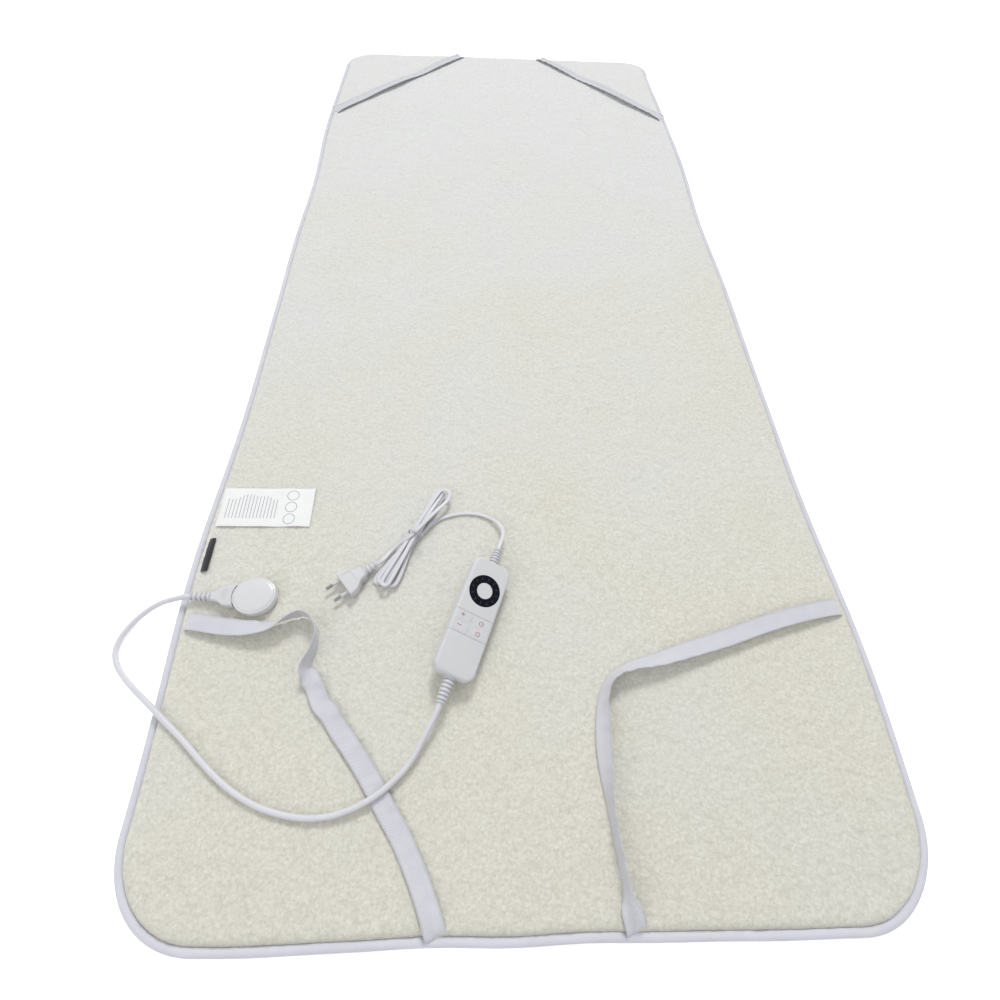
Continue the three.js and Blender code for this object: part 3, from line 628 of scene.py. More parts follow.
def outlinePoint(turn, inset):
    # a place on the mat's outline for each share of a turn, and the way out of the mat there
    a = mat["halfWidth"] - inset
    b = mat["halfLength"] - inset
    r = mat["round"] - inset
    sides = [2 * (b - r), 2 * (a - r)]
    arc = math.pi * r / 2
    whole = 2 * sum(sides) + 4 * arc
    s = (np.asarray(turn) % 1.0) * whole
    x, y, outX, outY = (np.zeros_like(s) for _ in range(4))
    start = 0.0
    legs = [
        ((a, -b + r), (0, 1), sides[0]), ((a - r, b), (-1, 0), sides[1]),
        ((-a, b - r), (0, -1), sides[0]), ((-a + r, -b), (1, 0), sides[1])]
    for (fromX, fromY), (wayX, wayY), length in legs:
        on = (s >= start) & (s < start + length)
        x[on] = fromX + wayX * (s[on] - start)
        y[on] = fromY + wayY * (s[on] - start)
        outX[on], outY[on] = wayY, -wayX
        start += length
        on = (s >= start) & (s < start + arc)
        bend = (s[on] - start) / r
        endX, endY = fromX + wayX * length, fromY + wayY * length
        midX, midY = endX - wayY * r, endY + wayX * r
        cos, sin = np.cos(bend), np.sin(bend)
        outX[on], outY[on] = wayY * cos + wayX * sin, -wayX * cos + wayY * sin
        x[on], y[on] = midX + r * outX[on], midY + r * outY[on]
        start += arc
    return x, y, outX, outY, whole


def softWave(position, seed, size, length):
    # a smooth wander along a line, made of a few sine waves
    draws = np.random.default_rng(seed)
    total = np.zeros_like(position)
    for octave in range(4):
        pitch = length / (1 + octave * draws.uniform(0.5, 1.1))
        total += np.sin(position / pitch * 2 * np.pi + draws.uniform(0, 6.28)) / (1 + octave * 0.6)
    return total * size / 2


def edgeShift(x, y):
    # the sides bow a little, as the cloth was cut and laid
    side = np.clip(np.abs(x) / mat["halfWidth"], 0, 1) ** 3 * np.sign(x)
    bow = softWave(y + x * 0.15, 5, mat["bow"], 1.15) - mat["bowIn"]
    end = np.clip(np.abs(y) / mat["halfLength"], 0, 1) ** 3
    # the two head corners are fuller than a plain round, and the head end lies a little short
    r = mat["round"]
    pastX = np.clip((np.abs(x) - mat["halfWidth"] + r) / r, 0, 1)
    pastY = np.clip((y - mat["halfLength"] + r) / r, 0, 1)
    full = 2 * pastX * pastY * np.where(x > 0, *mat["fuller"])
    short = np.where(y < 0, mat["footShort"], -mat["headShort"])
    shiftY = softWave(x, 9, mat["endWave"], 0.5) * end + short * end
    return side * bow + np.sign(x) * full, shiftY + full


def edgeLine(turns, inset):
    # the outline as the cloth lies, the way out of the mat, and the whole way round
    x, y, outX, outY, whole = outlinePoint(turns, inset)
    dx, dy = edgeShift(x, y)
    return x + dx, y + dy, outX, outY, whole


def makeFleece():
    across = int(2 * mat["halfWidth"] / mat["step"])
    along = int(2 * mat["halfLength"] / mat["step"])
    bpy.ops.object.select_all(action="DESELECT")
    bpy.ops.mesh.primitive_grid_add(x_subdivisions=across, y_subdivisions=along, size=2)
    fleece = startPiece("fleecePile")
    # the grid's corners are rounded as a square is drawn into a disc
    place = vertexArray(fleece)
    half = np.array([mat["halfWidth"], mat["halfLength"]]) - mat["tape"] + mat["overlap"]
    r = mat["round"] - mat["tape"] + mat["overlap"]
    flat = place[:, :2] * half
    into = np.clip(np.abs(flat) - (half - r), 0, None) / r
    reach = np.maximum(into.max(axis=1), 1e-9)
    length = np.maximum(np.linalg.norm(into, axis=1), 1e-9)
    rounded = into * (reach / length)[:, None]
    inner = np.clip(np.abs(flat), 0, half - r)
    flat = np.sign(flat) * (inner + rounded * r)
    # the pile rolls down to the tape over its last stretch
    edgeGap = np.minimum(*(half - np.abs(flat)).T)
    inCorner = (into > 0).all(axis=1)
    edgeGap = np.where(inCorner, r * (1 - reach), edgeGap)
    fall = 1 - np.sqrt(1 - (1 - np.clip(edgeGap / mat["roll"], 0, 1)) ** 2)
    shiftX, shiftY = edgeShift(flat[:, 0], flat[:, 1])
    low = mat["tapeTop"] - mat["underTape"]
    top = pileTop - mat["tuftRoom"]
    height = top + (low - top) * fall
    lay = softWave(flat[:, 0] * 1.3 + flat[:, 1] * 0.4, 21, 0.5 * mm, 0.33)
    lay += softWave(flat[:, 1] - flat[:, 0] * 0.3, 22, 0.5 * mm, 0.41)
    height += lay * (1 - fall)
    setVertices(fleece, np.stack([flat[:, 0] + shiftX, flat[:, 1] + shiftY, height], axis=1))
    for name, size, strength in (("fineTufts", 3.2, 1.5), ("tufts", 6.5, 1.9), ("clumps", 17, 1.3)):
        clouds = bpy.data.textures.new(name, "CLOUDS")
        clouds.noise_scale = size * mm
        clouds.noise_depth = 2
        clouds.noise_type = "SOFT_NOISE"
        applyModifier(
            fleece, "DISPLACE", texture=clouds, texture_coords="LOCAL", mid_level=0.5,
            direction="Z", strength=strength * mm)
    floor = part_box("top_fleece")[0][2]

    def skirt():
        bpy.ops.mesh.select_mode(type="EDGE")
        bpy.ops.mesh.select_all(action="SELECT")
        bpy.ops.mesh.region_to_loop()
        bpy.ops.mesh.extrude_region_move(TRANSFORM_OT_translate={"value": (0, 0, -20 * mm)})

    edit(fleece, skirt, lambda: bpy.ops.mesh.edge_face_add(), selectAll,
         lambda: bpy.ops.mesh.normals_make_consistent(inside=False))
    place = vertexArray(fleece)
    under = place[:, 2] < 0
    place[under, 2] = floor
    setVertices(fleece, place)
    smooth(fleece, 75)
    join(fleece, fleeceFinish, "fleece", "top_fleece")


def layCloth(name, finish, slot, node, section):
    # a flat sheet with the mat's outline, from pairs of inset and height
    turns = np.linspace(0, 1, 720, endpoint=False)
    rings = []
    for inset, height in section:
        x, y, *_ = edgeLine(turns, inset)
        rings.append(np.stack([x, y, np.full_like(x, height)], axis=1))
    cloth = skin(name, rings)
    smooth(cloth, 40)
    join(cloth, finish, slot, node)


def makeLayers():
    # the cloth below, held inside the tape, and the felt that carries the heating wire
    low, high = (end[2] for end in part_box("bottom_fabric"))
    inside = mat["tape"] + 1 * mm
    layCloth("undersideCloth", clothFinish, "underside_fabric", "bottom_fabric", (
        (2 * mm, high), (inside, high), (inside, low + 0.3 * mm), (inside + 2 * mm, low)))
    low, high = (end[2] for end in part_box("carrier_felt"))
    layCloth("carrierFelt", feltFinish, "felt", "carrier_felt", ((2 * mm, high), (2 * mm, low)))


def makeTape():
    # the binding: a soft flattened roll swept round the mat, with puckers at its seam
    count = 2400
    turns = np.linspace(0, 1, count, endpoint=False)
    x, y, outX, outY, whole = edgeLine(turns, 0)
    s = turns * whole
    flange, top = mat["tape"], mat["tapeTop"] + mat["crown"]
    stitch = 0.5 + 0.5 * np.cos(s / mat["stitch"] * 2 * np.pi)
    pucker = softWave(s, 31, 0.16 * mm, 0.024) + softWave(s, 32, 0.16 * mm, 0.06)
    # pairs of distance in from the edge and share of the height, round the section
    section = [
        (0.0, 0.46), (0.03, 0.70), (0.12, 0.90), (0.30, 1.0), (0.52, 0.985), (0.68, 0.90),
        (mat["seam"], 0.74), (0.80, 0.755), (0.90, 0.80), (0.97, 0.76), (1.0, 0.66), (0.97, 0.56),
        (0.80, 0.52), (0.60, 0.30), (0.60, 0.06), (0.30, 0.0), (0.10, 0.06), (0.02, 0.24)]
    rings = []
    for share, level in section:
        depth = share * flange + pucker * (0.5 if share > 0.5 else 0.25)
        height = np.full(count, level * top)
        if level > 0.5:
            height += pucker * 0.5
        if share == mat["seam"]:
            height -= stitch * 0.5 * mm
        rings.append(np.stack([x - outX * depth, y - outY * depth, height], axis=1))
    tape = skin("bindingTape", np.stack(rings, axis=1), loop=True, mapSize=(60 * mm, whole))
    smooth(tape, 60)
    join(tape, tapeFinish, "binding", "binding_tape")


def makeStitches():
    # one sewing thread round the tape, showing at each stitch and dipping between them
    whole = edgeLine(np.zeros(1), 0)[-1]
    stitchCount = int(whole / mat["stitch"])
    turns = np.linspace(0, 1, stitchCount * 5, endpoint=False)
    x, y, outX, outY, _ = edgeLine(turns, 0)
    rise = np.cos(turns * stitchCount * 2 * np.pi) * mat["threadDip"]
    level = 0.74 * (mat["tapeTop"] + mat["crown"]) - 0.1 * mm + rise
    rings = []
    for quarter in range(4):
        angle = quarter * math.pi / 2
        depth = mat["seam"] * mat["tape"] - math.cos(angle) * mat["threadRadius"]
        rings.append(np.stack([
            x - outX * depth, y - outY * depth,
            level + math.sin(angle) * mat["threadRadius"]], axis=1))
    stitches = skin("bindingStitches", np.stack(rings, axis=1), loop=True)
    smooth(stitches, 60)
    join(stitches, threadFinish, "binding")


threadFinish = makeMouldFinish("sewingThread", (0.82, 0.82, 0.88), (0.72, 0.72, 0.80), 0.7, grain=4000)
makeFleece()
makeLayers()
makeTape()
makeStitches()
print("stage: mat")

# straps, label and tab

strap = {"width": 20 * mm, "thickness": 1.1 * mm, "step": 2.5 * mm, "seamIn": 6 * mm}
sideSeam = mat["halfWidth"] - strap["seamIn"]
endSeam = mat["halfLength"] - strap["seamIn"]


def fromCorner(points):
    # millimetres from the mat's foot left corner to metres in the row frame
    return [(corner.x + x * mm, corner.y + y * mm, z * mm) for x, y, z in points]


def layBand(name, stations, width, rippleShape, curl, seed, endCut=None, columns=12):
    # a flat band along stations of x, y, z and roll in metres and degrees
    stations = np.asarray(stations, dtype=float)
    path, length = catmull(stations[:, :3], strap["step"])
    knots = gapsSummed(stations[:, :3])
    knots *= length / knots[-1]
    gone = np.linspace(0, length, len(path))
    roll = np.radians(np.interp(gone, knots, stations[:, 3]))
    soft = np.ones(5) / 5
    roll = np.convolve(np.pad(roll, 2, mode="edge"), soft, mode="valid")
    along, across, upward = lineFrames(path)
    sideways = across * np.cos(roll)[:, None] + upward * np.sin(roll)[:, None]
    outward = upward * np.cos(roll)[:, None] - across * np.sin(roll)[:, None]
    rings = []
    draws = np.random.default_rng(seed)
    phase = draws.uniform(0, 6.28, 3)
    for column in np.linspace(-1, 1, columns + 1):
        ripple = rippleShape(gone, length, column, phase)
        bow = curl * (column * column - 0.4)
        offset = sideways * (column * width / 2) + outward * (ripple + bow)[:, None]
        spot = path + offset
        if endCut is not None:
            spot = spot + along * (endCut(gone, length) * column * width / 2)[:, None]
        rings.append(spot)
    band = skin(name, np.stack(rings, axis=1), around=False, mapSize=(width, length))
    return band, length


def thicken(piece, thickness, bevel):
    applyModifier(piece, "SOLIDIFY", thickness=thickness, offset=0.0, use_even_offset=True)
    applyModifier(
        piece, "BEVEL", width=bevel, segments=2, limit_method="ANGLE", angle_limit=math.radians(50))
    smooth(piece, 50)


def flatRipple(size, pitch):
    def shape(gone, length, column, phase):
        ends = easeStep(gone, 0, 30 * mm) * (1 - easeStep(gone, length - 30 * mm, length))
        wave = np.sin(gone / pitch * fullTurn + phase[0] + column * 0.5)
        wave += 0.6 * np.sin(gone / pitch * 9.7 + phase[1] - column * 0.8)
        return size * wave * (0.6 + 0.4 * column) * ends
    return shape


def edgeCut(start, end):
    # the slant of a band's two ends, where they are sewn along a seam that it meets askew
    def cut(gone, length):
        return start * (1 - easeStep(gone, 0, 45 * mm)) + end * easeStep(gone, length - 45 * mm, length)
    return cut


def inFrom(stations, side):
    made = []
    for inward, y, z, roll in stations:
        made.append((side * (sideSeam - inward * mm), y * mm, z * mm, roll))
    return made


pile = onPile / mm
# a sewn end starts inside the tape and climbs the pile's edge: distance in and height
headRise = (
    (0, 6.4), (4.5, 7.4), (6.5, 9.8), (9.5, 13.4), (14.5, pile + 1.4), (24, pile + 3.2),
    (40, pile + 4.2))


def headStations(side, sideY, endX):
    start = np.array([side * sideSeam, sideY])
    end = np.array([endX, endSeam - mat["headShort"]])
    length = np.linalg.norm(end - start)
    way = (end - start) / length
    heights = [(d * mm, h * mm) for d, h in headRise]
    heights += [
        (0.20 * length, onPile + 4.4 * mm), (0.34 * length, onPile + 6.2 * mm),
        (0.50 * length, onPile + 5.2 * mm), (0.64 * length, onPile + 1.8 * mm),
        (0.76 * length, onPile + 4.2 * mm), (0.88 * length, onPile + 4.6 * mm)]
    heights += [(length - d * mm, h * mm) for d, h in reversed(headRise)]
    return [(*(start + way * d), h, 4 * math.sin(d / length * 9)) for d, h in heights]


def sewn(y):
    # the first stations of a strap that leaves the side seam square to it
    return [
        (0, y, 6.4, 0), (3, y, 7.4, 0), (4.6, y, 9.8, 0), (6.6, y, 13.4, 0),
        (10, y, pile + 1.6, 0)]


footLeft = inFrom(sewn(-646) + [
    (18, -647, pile + 4.0, 0), (49, -653, pile + 7.0, 0), (79, -656, pile + 9.0, -15),
    (106, -654, pile + 10.4, -45), (123, -646, pile + 10.9, -80), (138, -640, pile + 10.9, -90),
    (152, -647, pile + 10.9, -90), (160, -665, pile + 10.9, -90), (157, -685, pile + 10.6, -85),
    (152, -702, pile + 9.4, -70), (156, -709, pile + 5.4, -22), (163, -718, pile + 3.4, 12),
    (174, -738, pile + 1.6, -8), (184, -748, pile + 2.8, 6), (196, -764, pile + 1.3, -6),
    (212, -783, pile + 2.6, 3), (231, -808, pile + 1.3, -4), (250, -836, pile + 2.3, 3),
    (269, -864, pile + 1.2, -2), (284, -891, pile + 2.0, 0), (294, -912, pile + 2.6, 0),
    (299, -924, pile + 2.4, 0), (302, -932, pile + 1.2, 0), (303.5, -936, 13.4, 0),
    (305, -938.5, 9.8, 0), (306, -940.5, 7.4, 0), (308, -943.5, 6.4, 0)], -1)
footRight = inFrom(sewn(-633) + [
    (18, -634, pile + 4.0, 0), (66, -644, pile + 8.0, 0), (114, -657, pile + 8.0, 2),
    (160, -672, pile + 8.4, 5), (205, -685, pile + 9.2, 16), (243, -696, pile + 9.9, 32),
    (277, -704, pile + 10.6, 52), (299, -715, pile + 10.9, 68), (310, -733, pile + 10.6, 66),
    (314, -756, pile + 9.6, 52), (316, -780, pile + 9.0, 46), (317, -806, pile + 9.8, 60),
    (316.5, -832, pile + 10.5, 78), (314.5, -860, pile + 10.6, 83), (311.5, -888, pile + 10.6, 83),
    (309, -908, pile + 10.4, 80), (307, -920, pile + 8.4, 50), (305, -928, pile + 3.4, 8),
    (304, -932, pile + 1.2, 0), (303, -936, 13.4, 0),
    (302, -938.5, 9.8, 0), (301, -940.5, 7.4, 0), (300, -943.5, 6.4, 0)], 1)


def makeStraps():
    headLeft = headStations(-1, 585 * mm, -92 * mm)
    headRight = headStations(1, 595 * mm, 102 * mm)
    plans = (
        ("headLeftStrap", "strap_head_left", headLeft, 1.19, -0.84),
        ("headRightStrap", "strap_head_right", headRight, -1.2, 0.835),
        ("footLeftStrap", "strap_foot_left", footLeft, 0.0, 0.44),
        ("footRightStrap", "strap_foot_right", footRight, 0.0, 0.4))
    for index, (name, node, stations, startSlant, endSlant) in enumerate(plans):
        band, length = layBand(
            name, stations, strap["width"],
            flatRipple(0.45 * mm, 21 * mm), 0.5 * mm, 40 + index, edgeCut(startSlant, endSlant))
        thicken(band, strap["thickness"], 0.3 * mm)
        join(band, elasticFinish, "elastic", node)


makeStraps()
print("stage: straps")


flap = {
    "labelWidth": 57 * mm, "labelThickness": 0.5 * mm, "labelY": 458 * mm,
    "tabWidth": 45 * mm, "tabThickness": 1.1 * mm, "tabY": 390 * mm,
    "rules": (20 * mm, 86 * mm), "rulePitch": 2.2 * mm, "ruleLine": 0.5 * mm, "indent": 12 * mm,
    "ringRow": 103 * mm, "ringPitch": 8.75 * mm, "ringRadius": 7.2 * mm, "margin": 3 * mm}


def makeLabelFinish():
    finish = Finish("careLabel", 0.6)
    across, along = finish.mapParts()
    weave = across.threads(0.35 * mm) * along.threads(0.35 * mm)
    # plain rules and three plain rings stand for the care notes
    first, last = flap["rules"]
    line, margin, width = flap["ruleLine"], flap["margin"], flap["labelWidth"]
    rule = (along.repeat(flap["rulePitch"]) < line) * (along > first) * (along < last)
    ragged = finish.noise(26, 1)
    column = (across > flap["indent"]) * (across < (ragged * 26 * mm + 30 * mm))
    beside = (across - width / 2).repeat(flap["ringPitch"])
    past = along - flap["ringRow"]
    ring = (beside * beside + past * past).root()
    rings = ((ring - flap["ringRadius"]).size() < line) * (across > margin) * (across < width - margin)
    marks = (rule * column).most(rings)
    base = finish.mix(finish.noise(50, 3), (0.83, 0.83, 0.83), (0.90, 0.90, 0.89))
    finish.colour(finish.mix(marks * 0.7, base, (0.22, 0.22, 0.25)))
    finish.bump(weave, 0.08 * mm, 0.4)
    return finish.material


def makeFlaps():
    def wave(gone, length, column, phase):
        free = easeStep(gone, 20 * mm, length)
        return free * (0.9 * mm * np.sin(gone / (46 * mm) * fullTurn + column * 1.3) + 0.5 * mm * column)

    def still(gone, length, column, phase):
        return 0.5 * mm * np.sin(gone / (24 * mm) * fullTurn + column * 2.4)

    y = corner.y + flap["labelY"]
    heights = [
        (0, 6.4), (3, 7.4), (4.6, 9.8), (6.8, 13.6), (12, pile + 1.4), (20, pile + 1.8),
        (40, pile + 1.3), (80, pile + 0.9), (126, pile + 1.4)]
    stations = [(-sideSeam + x * mm, y, z * mm, 0) for x, z in heights]
    label, length = layBand(
        "careLabel", stations, flap["labelWidth"], wave, 0.2 * mm, 60)
    thicken(label, flap["labelThickness"], 0.1 * mm)
    join(label, makeLabelFinish(), "label", "care_label")

    y = corner.y + flap["tabY"]
    heights = [(0, 10.2), (3, 11.4), (6, 14.2), (10, pile + 1.5), (14.5, pile + 1.7)]
    stations = [(-sideSeam + x * mm, y, z * mm, 0) for x, z in heights]
    tab, length = layBand(
        "sideTab", stations, flap["tabWidth"], still, 0.2 * mm, 61, columns=24)
    thicken(tab, flap["tabThickness"], 0.35 * mm)
    join(tab, tabFinish, "tab", "side_tab")


makeFlaps()

# places of the hard pieces

lying = {
    "socket": (86, 333),
    "controller": (337.5, 302),
    "controllerYaw": 19.6,
    "controllerRoll": 22,
    "controllerWidth": 48,
    "hank": (267, 414),
    "hankTilt": 26.7,
    "plug": (209.5, 362.5),
    "plugHeading": 218.4,
    "plugThickness": 13.7,
}


def spot(pair, z):
    return Matrix.Translation((corner.x + pair[0] * mm, corner.y + pair[1] * mm, z))


controllerRoll = math.radians(lying["controllerRoll"])
toController = (
    spot(lying["controller"], onPile + lying["controllerWidth"] / 2 * mm * math.sin(controllerRoll))
    @ Matrix.Rotation(-math.radians(lying["controllerYaw"]), 4, "Z")
    @ Matrix.Rotation(controllerRoll, 4, "Y"))
toHank = spot(lying["hank"], 0) @ Matrix.Rotation(-math.radians(lying["hankTilt"]), 4, "Z")
toPlug = spot(lying["plug"], onPile + lying["plugThickness"] / 2 * mm) @ Matrix.Rotation(
    math.radians(lying["plugHeading"]), 4, "Z")
toSocket = spot(lying["socket"], 0)


def flatMap(piece):
    # the UV map takes the piece's own x and y, in metres
    layer = piece.data.uv_layers[0] if piece.data.uv_layers else piece.data.uv_layers.new(name="UVMap")
    places = vertexArray(piece)
    corners = np.empty(len(piece.data.loops), dtype=np.int32)
    piece.data.loops.foreach_get("vertex_index", corners)
    layer.uv.foreach_set("vector", np.ascontiguousarray(places[corners, :2], dtype=np.float32).ravel())


def roundRing(halfWide, halfHigh, radius, steps=7):
    # a rounded rectangle as points of y and z, anticlockwise
    ring = []
    for quarter, (signY, signZ) in enumerate(((1, 1), (-1, 1), (-1, -1), (1, -1))):
        for step in range(steps + 1):
            angle = (quarter + step / steps) * math.pi / 2
            ring.append((
                signY * (halfWide - radius) + radius * math.cos(angle),
                signZ * (halfHigh - radius) + radius * math.sin(angle)))
    return ring


def loft(name, stations, steps=7):
    # a skin through rounded rectangles along x: place, half width, half height, corner radius
    rings = []
    for x, wide, high, radius in stations:
        rings.append([(x * mm, y * mm, z * mm) for y, z in roundRing(wide, high, radius, steps)])
    return skin(name, rings)


def bootProfile(start, end, length, ribs, first=0.0):
    # a ribbed, tapering sleeve as pairs of height and radius in millimetres, with dark slots
    pairs = [(first, 0.01), (first, start * 0.9), (first + 0.25, start)]
    pitch = length / (ribs + 0.4)
    for rib in range(ribs + 1):
        low = rib * pitch
        radius = start + (end - start) * rib / ribs
        high = min(low + pitch * 0.62, length)
        pairs += [(low + 0.3, radius), (high - 0.3, radius), (high, radius - 0.3)]
        if rib < ribs:
            pairs += [
                (high + 0.05, radius - 1.7), (low + pitch - 0.05, radius - 1.7),
                (low + pitch, radius - 0.35)]
    pairs += [(length, 0.01)]
    return pairs


# cords

socketAxis = 21.1
cord = {
    "leadDiameter": 6.2 * mm,
    "mainsWidth": 5.0 * mm,
    "mainsThickness": 3.0 * mm,
    "sunk": 0.7,
    "column": 2.7,
    "lowest": 1.7,
    "layer": 3.05,
    # for each turn: sideways offset, half width and reach of its foot end and of its top end
    "footEnds": ((-9.0, 4.6, 75), (8.0, 4.8, 71), (-3.4, 4.6, 74), (2.4, 4.4, 76)),
    "topEnds": ((-5.4, 3.2, 69), (0.6, 3.4, 72), (-2.2, 4.2, 71), (5.8, 8.0, 75)),
}


def onController(y):
    return toController @ Vector((0, y * mm, 8.55 * mm))


def sweep(name, path, wide, high, sides, waist=0.0, roll=0.0):
    # an oval tube along a path, turned by its roll; waist pinches it between two cores
    along, across, upward = lineFrames(path)
    roll = np.broadcast_to(roll, len(path))
    cos, sin = np.cos(roll)[:, None], np.sin(roll)[:, None]
    wideWay = across * cos + upward * sin
    highWay = upward * cos - across * sin
    rings = []
    for side in range(sides):
        angle = side / sides * 2 * math.pi
        a, b = math.cos(angle), math.sin(angle)
        pinch = 1 - waist * math.exp(-(a / 0.35) ** 2)
        rings.append(path + wideWay * (a * wide / 2) + highWay * (b * high / 2 * pinch))
    return skin(name, np.stack(rings, axis=1))


def makeLead():
    sunk = cord["sunk"]
    start = toSocket @ Vector((-71.5 * mm, 0, socketAxis * mm))
    bend = fromCorner([
        (6.4, 333, 20.9), (-2, 332, 19.5), (-23, 328, 14), (-41, 319, 8), (-55, 305, 4),
        (-62, 289, 3.3), (-62, 273, 3.3), (-54, 258, 4), (-40, 244, 7.6), (-22, 230, 13.6)])
    onMat = fromCorner([
        (x, y, z - sunk) for x, y, z in (
            (-3, 216, 18.6), (19, 199, 19.8), (44, 179, 18.8), (72, 155, 18.7), (100, 134, 18.7),
            (130, 118, 18.7), (160, 109, 18.7), (185, 106, 19.1), (208, 108, 20.2),
            (232, 116, 21.6), (250, 126, 22), (268, 141, 22.3), (281, 156, 24.2), (291, 174, 28))])
    route = [start, *bend, *onMat, onController(-107.1), onController(-96)]
    path, length = catmull(route, 2.2 * mm)
    lead = sweep("leadCord", path, cord["leadDiameter"], cord["leadDiameter"], sides=24)
    smooth(lead, 60)
    join(lead, sheathFinish, "cord_sheath", "lead_cord", body=None)
    return lead, path, length


def fan(way, start, end, level, last):
    # one end of a turn, from the column it comes down to the column it goes back by
    offset, half, reach = end
    column = cord["column"]
    mid = reach - half
    points = [
        (start * column, way * 10, level), (offset * 0.5 + start * (column + half) / 2, way * 34, level),
        (offset + start * half, way * (mid - 5), level)]
    for angle in (30, 60, 90, 120, 150):
        bend = math.radians(angle)
        points.append((
            offset + start * half * math.cos(bend), way * (mid + half * math.sin(bend)), level))
    return points + [
        (offset - start * half, way * (mid - 5), level),
        (offset * 0.5 - start * (column + half) / 2, way * 34, last), (-start * column, way * 10, last)]


def hankPoints():
    # turns laid one over another, each drawn in at the tie and fanned out at its two ends
    made = []
    for turn, (foot, top) in enumerate(zip(cord["footEnds"], cord["topEnds"])):
        level = cord["lowest"] + turn * cord["layer"]
        made += fan(-1, 1, foot, level, level)
        made += fan(1, -1, top, level, level + cord["layer"])
    return made


def makeMains():
    lift = onPile / mm
    sunk = cord["sunk"]
    rise = fromCorner([
        (379, 416, 25), (374, 431, 20.5), (362, 442, 17.8 - sunk), (346, 448, 17.2 - sunk),
        (329, 449, 17.2 - sunk), (312, 446, 17.2 - sunk), (298, 440.5, 17.2 - sunk)])
    leave = cord["lowest"] + 4 * cord["layer"]
    laid = [(10.5, 28, 1.7), *hankPoints()]
    laid += [(0.5, -1, leave), (-4, -11, leave - 1.5), (-11, -19, leave - 8)]
    hank = [toHank @ Vector((x * mm, y * mm, (z + lift) * mm)) for x, y, z in laid]
    tail = fromCorner([(239, 393, 18.6)])
    ends = [toPlug @ Vector((x * mm, 0, 0)) for x in (-27, -20, -15)]
    route = [onController(90), onController(99.1), *rise, *hank, *tail, *ends]
    path, length = catmull(route, 1.8 * mm)
    mains = sweep("mainsCord", path, cord["mainsWidth"], cord["mainsThickness"], sides=20, waist=0.3)
    smooth(mains, 60)
    join(mains, sheathFinish, "cord_sheath", "mains_cord", "mains_hank", "mains_cord_tail")
    return mains, path, length


wireTie = {"half": 7.4, "high": 15.2, "corner": 3.2, "halfWidth": 1.5, "halfThickness": 0.4}


def makeTie():
    # a flat wire tie drawn round the waist, its two ends twisted together on top
    half, high = wireTie["half"], wireTie["high"]
    ring = []
    for y, z in roundRing(half, (high + 1.8) / 2, wireTie["corner"], 6):
        ring.append(toHank @ Vector((y * mm, 0.4 * mm, (z + high / 2 + 0.6) * mm + onPile)))
    ring = np.asarray([tuple(v) for v in ring])
    path, _ = catmull(np.concatenate([ring, ring[:1]]), 0.9 * mm)
    path = path[:-1]
    along = np.roll(path, -1, axis=0) - np.roll(path, 1, axis=0)
    along /= np.linalg.norm(along, axis=1)[:, None]
    flat = np.asarray((toHank.to_3x3() @ Vector((0, 1, 0)))[:])
    outward = np.cross(along, flat)
    rings = []
    for side in range(12):
        angle = side / 12 * 2 * math.pi
        wide = math.cos(angle) * wireTie["halfWidth"] * mm
        thick = math.sin(angle) * wireTie["halfThickness"] * mm
        rings.append(path + flat * wide + outward * thick)
    tie = skin("hankTie", np.stack(rings, axis=1), loop=True)
    smooth(tie, 60)
    join(tie, tieFinish, "tie", "hank_tie")
    ends = []
    for sign in (-1, 1):
        steps = np.linspace(0, 1, 26)
        twist = steps * 9 * sign + sign
        x = 2.5 + steps * 13 * (1 if sign > 0 else 0.9)
        radius = 0.8 * (1 - 0.4 * steps) + steps * 1.4 * (steps > 0.6)
        local = np.stack([
            x, 0.5 + radius * np.cos(twist) * sign, high + 2.2 + radius * np.sin(twist) * 0.6], axis=1)
        line = np.asarray([
            tuple(toHank @ Vector((*(point * mm),)) + Vector((0, 0, onPile))) for point in local])
        name = "tieEnd" + ("Left" if sign < 0 else "Right")
        tail = sweep(name, line, 1.6 * mm, 0.7 * mm, sides=8, roll=np.radians(steps * 200 * sign))
        smooth(tail, 60)
        ends.append(join(tail, tieFinish, "tie"))
    return tie, ends


lead, leadPath, leadLength = makeLead()
mains, mainsPath, mainsLength = makeMains()
tie, tieEnds = makeTie()
print("stage: cords, lead", round(leadLength, 3), "mains", round(mainsLength, 3))

# plug

plug = {"length": 27.5, "half": 6.85, "pinRadius": 2.0, "pinPitch": 18.6}


